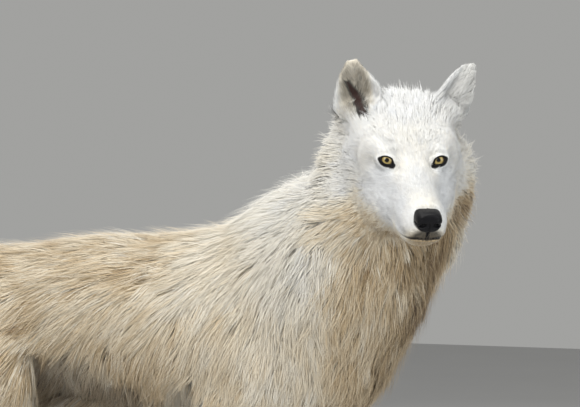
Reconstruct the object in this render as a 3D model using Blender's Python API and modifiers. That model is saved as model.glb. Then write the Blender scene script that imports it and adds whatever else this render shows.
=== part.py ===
"""An arctic wolf at life size, standing square with its head turned to its right.

The solids hold the outline of the coat, out to the tips of the hair. Long hair makes the neck, the
cheeks and the tail thick. Lofts and rounded masses are fused into one body, which thin plane cuts
then part into head, jaw, neck, trunk, tail, legs and paws. Ears, eyes, nose and claws are solids of
their own, seated in the body with a fine gap.

Metres. +X runs from the rump to the chest, +Y is the wolf's left, +Z is up. The floor is z = 0, and
the origin is under the middle of the whole animal.
"""

import math

import bmesh
import bpy
from mathutils import Matrix, Vector

# Gaps and mesh sizes
GAP = 0.0004  # between two solids that touch
ROOM_GROWTH = 1.75  # a box whose corners move out by this much has faces that move out by one
VOXEL = 0.0045  # grid on which the lofts are fused
FACE_PASSES = 11  # smoothing passes over the whole fused body
COAT_PASSES = 34  # further passes where long hair rounds the joins, away from face and feet
FACE_CENTRE = Vector((0.150, 0.0, 0.010))  # in the head's frame
FACE_REACH = (0.105, 0.175)  # distance from it at which the further passes begin, and are full
FEET_REACH = (0.07, 0.22)  # heights, the same
HEAD_FACES = 9700  # triangles of the whole body at the fineness of the head
PAW_FACES = 5600  # the same at the fineness of the paws
BODY_FACES = 3500  # the same at that of the trunk, neck, legs and tail

# Stance
PAW_X_FRONT = 0.232
PAW_X_REAR = -0.350
STANCE_Y_FRONT = 0.078
STANCE_Y_REAR = 0.082
TAIL_ROOT_X = -0.447
TAIL_ROOM_Y = (-0.0565, 0.0565)
STEP_FRONT = {"left": 0.022, "right": -0.012}  # how far each paw stands ahead of the pair
STEP_REAR = {"left": -0.085, "right": 0.022}
SOLE_DEPTH = 0.004  # how much of each rounded pad the flat sole takes off
PAW_TOP_FRONT = 0.078
PAW_TOP_REAR = 0.074

# Head: x forward from the centre of the braincase, y left, z up, before it is turned
HEAD_CENTRE = Vector((0.443, -0.061, 0.851))
HEAD_TURN = math.radians(-61)
HEAD_NOD = math.radians(20)
EYE_CENTRE = Vector((0.1110, 0.0378, 0.0465))
EYE_RADIUS = 0.0128
NOSE_CENTRE = Vector((0.2365, 0.0, 0.0035))
NOSE_SIZE = Vector((0.0165, 0.0180, 0.0150))
MOUTH_FRONT = Vector((0.260, 0.0, -0.0205))
MOUTH_CORNER = Vector((0.146, 0.0, -0.0250))

EAR_HEIGHT = {"left": 0.096, "right": 0.092}
EAR_HALF_WIDTH = {"left": 0.0375, "right": 0.0335}
EAR_ROOT_DEPTH = 0.030  # how far the ear runs down into the head before it is trimmed
EAR_THICKNESS = 0.0075
EAR_BASE = {"left": Vector((0.006, 0.0635, 0.068)), "right": Vector((0.006, -0.0615, 0.066))}
EAR_SWIVEL = {"left": math.radians(30), "right": math.radians(-12)}  # opening turned outwards
EAR_FLARE = {"left": math.radians(-36), "right": math.radians(9)}  # tip leaning outwards

SIDES = {"left": 1, "right": -1}

# Coat colours, linear
WHITE = (0.80, 0.78, 0.73)
CREAM = (0.62, 0.52, 0.40)
TAN = (0.42, 0.31, 0.20)
DARK_SKIN = (0.012, 0.011, 0.011)
AMBER = (0.55, 0.36, 0.10)
CLAW_HORN = (0.05, 0.042, 0.038)

# Trunk: place along the back, top line, under line and half width
TRUNK = (
    (-0.448, 0.650, 0.580, 0.040),
    (-0.432, 0.684, 0.548, 0.070),
    (-0.390, 0.705, 0.522, 0.098),
    (-0.320, 0.716, 0.510, 0.108),
    (-0.235, 0.721, 0.508, 0.104),
    (-0.150, 0.730, 0.506, 0.106),
    (-0.060, 0.743, 0.490, 0.117),
    (0.030, 0.743, 0.466, 0.128),
    (0.120, 0.756, 0.438, 0.136),
    (0.210, 0.774, 0.420, 0.138),
    (0.290, 0.780, 0.428, 0.135),
    (0.355, 0.755, 0.458, 0.120),
    (0.400, 0.705, 0.500, 0.092),
    (0.424, 0.650, 0.555, 0.050),
)

# Neck with its mane: centre, half depth along the neck's fore-and-aft direction, half width
NECK = (
    (Vector((0.225, 0.000, 0.560)), 0.165, 0.132),
    (Vector((0.296, -0.002, 0.653)), 0.171, 0.146),
    (Vector((0.361, -0.016, 0.723)), 0.149, 0.148),
    (Vector((0.405, -0.038, 0.783)), 0.118, 0.132),
    (Vector((0.430, -0.056, 0.838)), 0.088, 0.106),
)

# Tail: centre and radius
TAIL = (
    (Vector((-0.395, 0.0, 0.664)), 0.036),
    (Vector((-0.448, 0.0, 0.642)), 0.041),
    (Vector((-0.494, 0.0, 0.582)), 0.048),
    (Vector((-0.520, 0.0, 0.500)), 0.055),
    (Vector((-0.532, 0.0, 0.420)), 0.054),
    (Vector((-0.534, 0.0, 0.350)), 0.044),
    (Vector((-0.530, 0.0, 0.300)), 0.027),
    (Vector((-0.527, 0.0, 0.276)), 0.010),
)

# Foreleg: place ahead of the paw's centre, place out from it, height, half depth, half width
FORELEG = (
    (-0.020, 0.000, 0.565, 0.070, 0.046),
    (-0.042, 0.006, 0.500, 0.064, 0.043),
    (-0.054, 0.008, 0.440, 0.052, 0.038),
    (-0.044, 0.006, 0.380, 0.041, 0.033),
    (-0.031, 0.002, 0.300, 0.033, 0.028),
    (-0.022, -0.001, 0.215, 0.029, 0.0265),
    (-0.019, -0.001, 0.175, 0.031, 0.0290),
    (-0.020, 0.000, 0.120, 0.0265, 0.0265),
    (-0.012, 0.000, 0.070, 0.0290, 0.0300),
    (0.004, 0.000, 0.036, 0.0330, 0.0340),
)

# Hind leg: the same
HINDLEG = (
    (0.095, -0.012, 0.640, 0.090, 0.048),
    (0.112, -0.004, 0.560, 0.100, 0.050),
    (0.128, 0.004, 0.480, 0.086, 0.045),
    (0.112, 0.006, 0.415, 0.068, 0.040),
    (0.056, 0.004, 0.345, 0.048, 0.033),
    (0.000, 0.001, 0.282, 0.034, 0.0265),
    (-0.046, -0.001, 0.232, 0.0270, 0.0240),
    (-0.066, -0.001, 0.200, 0.0270, 0.0240),
    (-0.060, 0.000, 0.145, 0.0215, 0.0220),
    (-0.046, 0.000, 0.085, 0.0240, 0.0250),
    (-0.008, 0.000, 0.038, 0.0300, 0.0310),
)

# Skull and muzzle: place forward, top line, under line, half width
SKULL = (
    (-0.104, 0.068, -0.055, 0.060),
    (-0.074, 0.100, -0.088, 0.092),
    (-0.030, 0.110, -0.104, 0.104),
    (0.015, 0.106, -0.102, 0.102),
    (0.055, 0.098, -0.092, 0.091),
    (0.086, 0.086, -0.080, 0.077),
    (0.108, 0.073, -0.071, 0.064),
    (0.128, 0.059, -0.064, 0.0515),
    (0.150, 0.048, -0.058, 0.0420),
    (0.180, 0.041, -0.0525, 0.0365),
    (0.208, 0.036, -0.0465, 0.0340),
    (0.227, 0.031, -0.0415, 0.0305),
    (0.2385, 0.021, -0.0360, 0.0235),
    (0.2440, 0.007, -0.0300, 0.0140),
)

# Rounded masses of the head: centre, radii, and turn about the vertical; the left one is mirrored
HEAD_MASSES = (
    (Vector((-0.010, 0.074, -0.022)), Vector((0.064, 0.047, 0.076)), math.radians(-14)),
    (Vector((-0.018, 0.062, -0.096)), Vector((0.072, 0.062, 0.100)), math.radians(-10)),
    (Vector((0.036, 0.068, -0.034)), Vector((0.052, 0.034, 0.058)), math.radians(-28)),
    (Vector((0.096, 0.043, -0.014)), Vector((0.060, 0.029, 0.046)), math.radians(-16)),
    (Vector((0.084, 0.034, 0.061)), Vector((0.036, 0.025, 0.017)), math.radians(20)),
    (Vector((0.064, 0.050, 0.044)), Vector((0.044, 0.032, 0.042)), math.radians(-18)),
    (Vector((0.190, 0.0215, -0.015)), Vector((0.048, 0.0150, 0.022)), math.radians(-6)),
    (Vector((-0.004, 0.056, 0.066)), Vector((0.046, 0.037, 0.040)), 0.0),
)

# The side of the ruff away from the turn of the head spreads
SPREAD_RUFF = (Vector((-0.012, 0.081, -0.034)), Vector((0.066, 0.051, 0.088)))

# Rounded masses of the body: centre, radii and tilt about the transverse axis
BODY_MASSES = (
    (Vector((0.235, 0.078, 0.590)), Vector((0.088, 0.062, 0.150)), math.radians(16)),
    (Vector((0.205, 0.072, 0.505)), Vector((0.075, 0.058, 0.080)), math.radians(-20)),
    (Vector((-0.315, 0.066, 0.585)), Vector((0.112, 0.050, 0.128)), math.radians(-8)),
    (Vector((-0.225, 0.078, 0.520)), Vector((0.078, 0.034, 0.062)), math.radians(-30)),
    (Vector((0.375, 0.030, 0.590)), Vector((0.060, 0.070, 0.110)), math.radians(18)),
)


def clear_scene():
    """Removes what is in the scene."""
    for obj in list(bpy.data.objects):
        bpy.data.objects.remove(obj, do_unlink=True)


def make_material(name, colour, roughness, metallic=0.0):
    """A Principled material."""
    material = bpy.data.materials.new(name)
    material.use_nodes = True
    shader = material.node_tree.nodes["Principled BSDF"]
    shader.inputs["Base Color"].default_value = (*colour, 1.0)
    shader.inputs["Roughness"].default_value = roughness
    shader.inputs["Metallic"].default_value = metallic
    return material


def head_matrix():
    """Places the head's own frame in the wolf's."""
    turn = Matrix.Rotation(HEAD_TURN, 4, "Z")
    nod = Matrix.Rotation(HEAD_NOD, 4, "Y")
    return Matrix.Translation(HEAD_CENTRE) @ turn @ nod


def ring_matrix(centre, side, up, half_width, half_height):
    """A unit circle's matrix for one loft section: its plane is spanned by side and up."""
    side = side.normalized()
    up = (up - up.dot(side) * side).normalized()
    along = side.cross(up)
    turn = Matrix((side, up, along)).transposed().to_4x4()
    size = Matrix.Diagonal((half_width, half_height, 1.0, 1.0))
    return Matrix.Translation(centre) @ turn @ size


def catmull_rom(points, steps):
    """Values on a smooth curve through points, steps to each span; a point is any tuple of numbers."""
    rows = [Vector(p) for p in points]
    rows = [2 * rows[0] - rows[1], *rows, 2 * rows[-1] - rows[-2]]
    found = []
    for i in range(1, len(rows) - 2):
        before, start, end, after = rows[i - 1 : i + 3]
        for k in range(steps):
            t = k / steps
            found.append(
                0.5
                * (
                    2 * start
                    + (end - before) * t
                    + (2 * before - 5 * start + 4 * end - after) * t**2
                    + (3 * start - before - 3 * end + after) * t**3
                )
            )
    found.append(rows[-2])
    return found


def loft(name, matrices, segments=20):
    """A closed skin over a row of ellipses, with both ends capped."""
    bm = bmesh.new()
    rings = []
    for i, matrix in enumerate(matrices):
        capped = i in (0, len(matrices) - 1)
        made = bmesh.ops.create_circle(
            bm, cap_ends=capped, radius=1.0, segments=segments, matrix=matrix
        )
        inside = set(made["verts"])
        rings.append([e for e in bm.edges if set(e.verts) <= inside])
    for near, far in zip(rings, rings[1:]):
        bmesh.ops.bridge_loops(bm, edges=near + far)
    bmesh.ops.recalc_face_normals(bm, faces=bm.faces[:])
    return mesh_object(name, bm)


def ellipsoid(name, matrix, segments=24):
    """A rounded mass: the unit sphere under matrix."""
    bm = bmesh.new()
    bmesh.ops.create_uvsphere(
        bm, u_segments=segments, v_segments=2 * segments // 3, radius=1.0, matrix=matrix
    )
    bmesh.ops.recalc_face_normals(bm, faces=bm.faces[:])
    return mesh_object(name, bm)


def box(name, low, high, matrix=None):
    """A block between two corners, placed by matrix."""
    low, high = Vector(low), Vector(high)
    size = Matrix.Diagonal((*(high - low), 1.0))
    place = Matrix.Translation((low + high) / 2) @ size
    bm = bmesh.new()
    bmesh.ops.create_cube(bm, size=1.0, matrix=(matrix or Matrix.Identity(4)) @ place)
    return mesh_object(name, bm)


def mesh_object(name, bm):
    """Makes bm an object in the scene."""
    mesh = bpy.data.meshes.new(name)
    bm.to_mesh(mesh)
    bm.free()
    obj = bpy.data.objects.new(name, mesh)
    bpy.context.scene.collection.objects.link(obj)
    return obj


def applied(obj):
    """Makes obj's evaluated mesh its own and drops its modifiers."""
    graph = bpy.context.evaluated_depsgraph_get()
    mesh = bpy.data.meshes.new_from_object(obj.evaluated_get(graph))
    obj.modifiers.clear()
    obj.data = mesh
    return obj


def copied(obj, name):
    """A copy of obj with a mesh of its own."""
    twin = bpy.data.objects.new(name, obj.data.copy())
    bpy.context.scene.collection.objects.link(twin)
    return twin


def drop(*objects):
    """Removes helper objects."""
    for obj in objects:
        bpy.data.objects.remove(obj, do_unlink=True)


def boolean(obj, operation, other):
    """obj cut by, joined to or kept inside other."""
    modifier = obj.modifiers.new(operation, "BOOLEAN")
    modifier.operation = operation
    modifier.object = other
    return applied(obj)


def grown(obj, name, distance=GAP):
    """A copy of obj whose faces stand out by distance."""
    twin = copied(obj, name)
    modifier = twin.modifiers.new("grow", "DISPLACE")
    modifier.strength = distance
    modifier.mid_level = 0.0
    return applied(twin)


def joined(name, objects):
    """The objects' meshes as one object, not yet fused."""
    bm = bmesh.new()
    for obj in objects:
        bm.from_mesh(obj.data)
    whole = mesh_object(name, bm)
    drop(*objects)
    return whole


def trunk_pieces():
    """The trunk with its shoulder, chest and haunch masses."""
    rings = []
    for x, top, under, half_width in catmull_rom(TRUNK, 3):
        centre = Vector((x, 0.0, (top + under) / 2))
        rings.append(
            ring_matrix(centre, Vector((0, 1, 0)), Vector((0, 0, 1)), half_width, (top - under) / 2)
        )
    pieces = [loft("trunk_loft", rings, 28)]
    for centre, radii, tilt in BODY_MASSES:
        for sign in SIDES.values():
            place = Vector((centre.x, sign * centre.y, centre.z))
            matrix = (
                Matrix.Translation(place)
                @ Matrix.Rotation(tilt, 4, "Y")
                @ Matrix.Diagonal((*radii, 1.0))
            )
            pieces.append(ellipsoid("body_mass", matrix))
    return pieces


def neck_piece():
    """The neck, which turns towards the head as it rises."""
    rows = catmull_rom([(*centre, depth, width) for centre, depth, width in NECK], 3)
    centres = [Vector(row[:3]) for row in rows]
    turned = Matrix.Rotation(HEAD_TURN, 3, "Z") @ Vector((0, 1, 0))
    rings = []
    for i, row in enumerate(rows):
        share = i / (len(rows) - 1)
        ahead = centres[min(i + 1, len(rows) - 1)] - centres[max(i - 1, 0)]
        side = Vector((0, 1, 0)).lerp(turned, 0.6 * share)
        side = side - side.project(ahead)
        rings.append(ring_matrix(centres[i], side, ahead.cross(side), row[4], row[3]))
    return loft("neck_loft", rings, 28)


def tail_piece():
    """The hanging tail."""
    rows = catmull_rom([(*centre, radius) for centre, radius in TAIL], 3)
    centres = [Vector(row[:3]) for row in rows]
    rings = []
    for i, row in enumerate(rows):
        ahead = centres[min(i + 1, len(rows) - 1)] - centres[max(i - 1, 0)]
        side = Vector((0, 1, 0))
        rings.append(ring_matrix(centres[i], side, ahead.cross(side), row[3], row[3] * 1.08))
    return loft("tail_loft", rings, 20)


def leg_piece(name, stations, paw_x, stance_y, step):
    """One leg from inside the body down to the top of the paw; step moves its lower end ahead."""
    top = stations[0][2]
    rows = []
    for ahead, out, height, depth, width in stations:
        lean = step * (1.0 - height / top) ** 0.6
        rows.append((paw_x + lean + ahead, abs(stance_y) + out, height, depth, width))
    rows = catmull_rom(rows, 3)
    sign = math.copysign(1.0, stance_y)
    centres = [Vector((row[0], sign * row[1], row[2])) for row in rows]
    rings = []
    for i, row in enumerate(rows):
        along = centres[min(i + 1, len(rows) - 1)] - centres[max(i - 1, 0)]
        side = Vector((0, 1, 0))
        rings.append(ring_matrix(centres[i], side, along.cross(side), row[4], row[3]))
    return loft(name, rings, 20)


def toe_places(paw_x, stance_y, scale):
    """Centre and radii of the four toes of a paw, inner to outer, and the way each points."""
    sign = math.copysign(1.0, stance_y)
    toes = []
    for k in range(4):
        across = (k - 1.5) / 1.5
        ahead = 0.052 - 0.017 * across**2
        centre = Vector(
            (paw_x + ahead * scale, stance_y + sign * 0.0310 * across * scale, 0.0205 * scale)
        )
        spread = math.radians(9) * across * sign
        radii = Vector((0.0285, 0.0145, 0.0190 if abs(across) < 0.5 else 0.0175)) * scale
        toes.append((centre, radii, spread))
    return toes


def paw_pieces(paw_x, stance_y, scale):
    """The foot: a rounded metacarpal mass, four toes and the main pad."""
    parts = [
        (Vector((paw_x + 0.008 * scale, stance_y, 0.036 * scale)), (0.040, 0.0365, 0.026)),
        (Vector((paw_x + 0.002 * scale, stance_y, 0.017 * scale)), (0.032, 0.030, 0.017)),
        (Vector((paw_x + 0.030 * scale, stance_y, 0.027 * scale)), (0.030, 0.037, 0.019)),
    ]
    pieces = []
    for centre, radii in parts:
        matrix = Matrix.Translation(centre) @ Matrix.Diagonal((*(r * scale for r in radii), 1.0))
        pieces.append(ellipsoid("paw_mass", matrix))
    for centre, radii, spread in toe_places(paw_x, stance_y, scale):
        matrix = (
            Matrix.Translation(centre)
            @ Matrix.Rotation(spread, 4, "Z")
            @ Matrix.Rotation(math.radians(14), 4, "Y")
            @ Matrix.Diagonal((*radii, 1.0))
        )
        pieces.append(ellipsoid("toe", matrix))
    return pieces


def head_pieces():
    """Skull, muzzle, cheeks, brows and lips in the head's place."""
    place = head_matrix()
    rings = []
    for x, top, under, half_width in catmull_rom(SKULL, 3):
        centre = Vector((x, 0.0, (top + under) / 2))
        rings.append(
            place
            @ ring_matrix(
                centre, Vector((0, 1, 0)), Vector((0, 0, 1)), half_width, (top - under) / 2
            )
        )
    pieces = [loft("skull_loft", rings, 28)]
    for centre, radii, turn in HEAD_MASSES:
        for sign in SIDES.values():
            matrix = (
                place
                @ Matrix.Translation(Vector((centre.x, sign * centre.y, centre.z)))
                @ Matrix.Rotation(sign * turn, 4, "Z")
                @ Matrix.Diagonal((*radii, 1.0))
            )
            pieces.append(ellipsoid("head_mass", matrix))
    centre, radii = SPREAD_RUFF
    spread = place @ Matrix.Translation(centre) @ Matrix.Diagonal((*radii, 1.0))
    pieces.append(ellipsoid("head_mass", spread))
    return pieces


def paws():
    """Name, place, stance and size of the four paws."""
    found = []
    for side, sign in SIDES.items():
        front = PAW_X_FRONT + STEP_FRONT[side]
        rear = PAW_X_REAR + STEP_REAR[side]
        found.append((f"front_{side}", front, sign * STANCE_Y_FRONT, 1.0))
        found.append((f"rear_{side}", rear, sign * STANCE_Y_REAR, 0.93))
    return found


def ramp(value, span):
    """0 below a span of values, 1 above it."""
    return min(1.0, max(0.0, (value - span[0]) / (span[1] - span[0])))


def fused_body():
    """Everything but ears, eyes, nose and claws, as one smooth skin standing on flat soles."""
    pieces = [*trunk_pieces(), neck_piece(), tail_piece(), *head_pieces()]
    for side, sign in SIDES.items():
        pieces.append(
            leg_piece(
                "foreleg", FORELEG, PAW_X_FRONT, sign * STANCE_Y_FRONT, STEP_FRONT[side]
            )
        )
        pieces.append(
            leg_piece("hindleg", HINDLEG, PAW_X_REAR, sign * STANCE_Y_REAR, STEP_REAR[side])
        )
    for _, paw_x, stance_y, scale in paws():
        pieces += paw_pieces(paw_x, stance_y, scale)
    body = joined("fused", pieces)
    remesh = body.modifiers.new("fuse", "REMESH")
    remesh.mode = "VOXEL"
    remesh.voxel_size = VOXEL
    smooth = body.modifiers.new("soften", "SMOOTH")
    smooth.factor = 0.5
    smooth.iterations = FACE_PASSES
    applied(body)
    face = head_matrix() @ FACE_CENTRE
    coat = body.vertex_groups.new(name="coat")
    for vertex in body.data.vertices:
        share = min(
            ramp((vertex.co - face).length, FACE_REACH), ramp(vertex.co.z, FEET_REACH)
        )
        coat.add([vertex.index], share, "REPLACE")
    rounding = body.modifiers.new("round", "SMOOTH")
    rounding.factor = 0.5
    rounding.iterations = COAT_PASSES
    rounding.vertex_group = "coat"
    applied(body)
    lowest = min(v.co.z for v in body.data.vertices)
    body.data.transform(Matrix.Translation((0, 0, -lowest - SOLE_DEPTH)))
    return body


def thinned(obj, name, faces):
    """A copy of obj with about this many triangles."""
    twin = copied(obj, name)
    modifier = twin.modifiers.new("thin", "DECIMATE")
    modifier.ratio = faces / (2 * len(obj.data.polygons))
    modifier.use_collapse_triangulate = True
    return applied(twin)


def cut_off(rest, source, name, cutter):
    """The part of source inside cutter, taken off rest with a gap."""
    piece = copied(source, name)
    boolean(piece, "INTERSECT", cutter)
    room = grown(cutter, "room", GAP * ROOM_GROWTH)
    boolean(rest, "DIFFERENCE", room)
    drop(cutter, room)
    return piece


def half_space(name, point, normal, reach=0.9):
    """A large block on the side of a plane that normal points to."""
    turn = Vector((0, 0, 1)).rotation_difference(normal.normalized()).to_matrix().to_4x4()
    return box(
        name, (-reach, -reach, 0.0), (reach, reach, reach), Matrix.Translation(point) @ turn
    )


def head_room(name):
    """The room of the head, from behind the ears and from under the jaw forwards."""
    corner = Matrix.Translation((-0.100, 0.0, -0.118)) @ Matrix.Rotation(math.radians(-8), 4, "Y")
    return box(name, (0.0, -0.13, 0.0), (0.5, 0.16, 0.4), head_matrix() @ corner)


def wedge(name, sign, armpit, rise, fore, aft):
    """The room of one leg: below a plane that rises outwards from the armpit, on its own side."""
    reach = 0.5
    slope = Matrix.Translation(armpit) @ Matrix.Rotation(sign * rise, 4, "X")
    block = box(name, (fore, -reach, -reach), (aft, reach, 0.0), slope)
    side = box("side", (-1.0, 0.001, -1.0), (1.0, 1.0, 1.0), Matrix.Scale(sign, 4, (0, 1, 0)))
    if sign < 0:
        side.data.flip_normals()
    boolean(block, "INTERSECT", side)
    drop(side)
    return block


def ear(side, head):
    """A cupped, rounded triangle of hide and short fur, trimmed where it meets the head."""
    tip_back = math.radians(-10)
    height = EAR_HEIGHT[side]
    root = -EAR_ROOT_DEPTH / height
    bm = bmesh.new()
    bmesh.ops.create_grid(bm, x_segments=5, y_segments=7, size=1.0)
    for vertex in bm.verts:
        across, rise = vertex.co.x, root + (1.0 - root) * (vertex.co.y + 1.0) / 2
        swell = max(0.0, 1.0 - max(rise, 0.0) ** 2.0) ** 0.72
        half = EAR_HALF_WIDTH[side] * (0.16 + 0.84 * swell)
        cup = math.radians(20 + 52 * (1.0 - min(1.0, max(rise, 0.0))))
        radius = half / math.sin(cup)
        angle = across * cup
        vertex.co = Vector(
            (
                -radius * (math.cos(angle) - math.cos(cup)) - 0.016 * rise**2,
                radius * math.sin(angle),
                height * rise,
            )
        )
    bmesh.ops.recalc_face_normals(bm, faces=bm.faces[:])
    if sum((f.normal.x for f in bm.faces)) < 0:
        bmesh.ops.reverse_faces(bm, faces=bm.faces[:])
    obj = mesh_object(f"ear_{side}", bm)
    thick = obj.modifiers.new("thickness", "SOLIDIFY")
    thick.thickness = EAR_THICKNESS
    thick.offset = -1.0
    applied(obj)
    turn = (
        Matrix.Rotation(EAR_FLARE[side], 4, "X")
        @ Matrix.Rotation(tip_back, 4, "Y")
        @ Matrix.Rotation(EAR_SWIVEL[side], 4, "Z")
    )
    obj.data.transform(head_matrix() @ Matrix.Translation(EAR_BASE[side]) @ turn)
    shell = grown(head, "head_grown")
    boolean(obj, "DIFFERENCE", shell)
    drop(shell)
    return largest_body(obj)


def largest_body(obj):
    """Keeps the largest connected piece of obj, as a trim can leave a crumb."""
    bm = bmesh.new()
    bm.from_mesh(obj.data)
    left, groups = set(bm.verts), []
    while left:
        queue, group = [left.pop()], []
        while queue:
            vertex = queue.pop()
            group.append(vertex)
            for edge in vertex.link_edges:
                other = edge.other_vert(vertex)
                if other in left:
                    left.remove(other)
                    queue.append(other)
        groups.append(group)
    keep = set(max(groups, key=len))
    bmesh.ops.delete(bm, geom=[v for v in bm.verts if v not in keep], context="VERTS")
    bm.to_mesh(obj.data)
    bm.free()
    return obj


def eye(side, sign, head):
    """An eyeball seated in a socket of the head."""
    place = head_matrix() @ Matrix.Translation((EYE_CENTRE.x, sign * EYE_CENTRE.y, EYE_CENTRE.z))
    ball = ellipsoid(f"eye_{side}", place @ Matrix.Scale(EYE_RADIUS, 4), 14)
    socket = ellipsoid("socket", place @ Matrix.Scale(EYE_RADIUS + 1.5 * GAP, 4), 14)
    boolean(head, "DIFFERENCE", socket)
    drop(socket)
    return ball


def nose(head):
    """The nose pad: a rounded block, broad above, with a nostril sunk in each side."""
    bm = bmesh.new()
    bmesh.ops.create_cube(bm, size=2.0)
    bmesh.ops.subdivide_edges(bm, edges=bm.edges[:], cuts=1, use_grid_fill=True)
    for vertex in bm.verts:
        if vertex.co.z < -0.5:
            vertex.co.y *= 0.62
            vertex.co.x -= 0.30
        if vertex.co.x > 0.5:
            vertex.co.y *= 0.86
    pad = mesh_object("nose", bm)
    rounding = pad.modifiers.new("rounding", "SUBSURF")
    rounding.levels = rounding.render_levels = 1
    applied(pad)
    swell = 1.12  # the rounding draws the block in by this much
    size = Matrix.Diagonal((*(NOSE_SIZE * swell), 1.0))
    pad.data.transform(head_matrix() @ Matrix.Translation(NOSE_CENTRE) @ size)
    for sign in SIDES.values():
        hole = ellipsoid(
            "nostril",
            head_matrix()
            @ Matrix.Translation(NOSE_CENTRE + Vector((0.0155, sign * 0.0105, 0.001)))
            @ Matrix.Rotation(sign * math.radians(32), 4, "X")
            @ Matrix.Diagonal((0.0090, 0.0040, 0.0030, 1.0)),
            8,
        )
        boolean(pad, "DIFFERENCE", hole)
        drop(hole)
    room = grown(pad, "nose_room")
    boolean(head, "DIFFERENCE", room)
    drop(room)
    return pad


def jaw(head, source):
    """The lower jaw, parted from the head along the closed mouth."""
    reach = 0.09
    corner, front = MOUTH_CORNER, MOUTH_FRONT
    outline = [front, corner, corner + Vector((-0.022, 0, -0.085)), front + Vector((0.02, 0, -0.085))]
    bm = bmesh.new()
    face = bm.faces.new([bm.verts.new(p + Vector((0, -reach, 0))) for p in outline])
    made = bmesh.ops.extrude_face_region(bm, geom=[face])
    moved = [v for v in made["geom"] if isinstance(v, bmesh.types.BMVert)]
    bmesh.ops.translate(bm, verts=moved, vec=(0, 2 * reach, 0))
    bmesh.ops.recalc_face_normals(bm, faces=bm.faces[:])
    cutter = mesh_object("jaw_room", bm)
    cutter.data.transform(head_matrix())
    return cut_off(head, source, "lower_jaw", cutter)


def claws(name, paw_x, stance_y, scale, paw):
    """Four blunt, curved claws, trimmed where they leave the toes."""
    made = []
    shell = grown(paw, "paw_grown")
    for k, (centre, radii, spread) in enumerate(toe_places(paw_x, stance_y, scale)):
        tip = centre + Matrix.Rotation(spread, 3, "Z") @ Vector((radii.x * 0.84, 0, -0.0035))
        rings = []
        for step in range(4):
            share = step / 3
            size = 0.0047 * scale * (1.0 - 0.82 * share**1.5)
            bend = math.radians(8 + 46 * share)
            reach = Vector((0.019 * share - 0.004, 0, -0.011 * share**1.8))
            at = tip + Matrix.Rotation(spread, 3, "Z") @ (reach * scale)
            ahead = Matrix.Rotation(spread, 3, "Z") @ Vector((math.cos(bend), 0, -math.sin(bend)))
            side = Matrix.Rotation(spread, 3, "Z") @ Vector((0, 1, 0))
            rings.append(ring_matrix(at, side, ahead.cross(side), size * 0.72, size))
        claw = loft(f"claw_{name}_{k + 1}", rings, 5)
        floor = box("floor", (-1, -1, -0.2), (1, 1, 0.0006))
        boolean(claw, "DIFFERENCE", shell)
        boolean(claw, "DIFFERENCE", floor)
        drop(floor)
        made.append(largest_body(claw))
    drop(shell)
    return made


def stand_on_origin(objects):
    """Brings the middle of the objects' box over the origin."""
    points = [v.co for obj in objects for v in obj.data.vertices]
    middle = [(min(p[i] for p in points) + max(p[i] for p in points)) / 2 for i in (0, 1)]
    for obj in objects:
        obj.data.transform(Matrix.Translation((-middle[0], -middle[1], 0.0)))


def clean(obj):
    """Merges doubles and drops slivers that cutting leaves."""
    bm = bmesh.new()
    bm.from_mesh(obj.data)
    bmesh.ops.remove_doubles(bm, verts=bm.verts[:], dist=0.00003)
    bmesh.ops.dissolve_degenerate(bm, edges=bm.edges[:], dist=0.00003)
    bmesh.ops.triangulate(bm, faces=bm.faces[:])
    bm.to_mesh(obj.data)
    bm.free()


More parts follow.
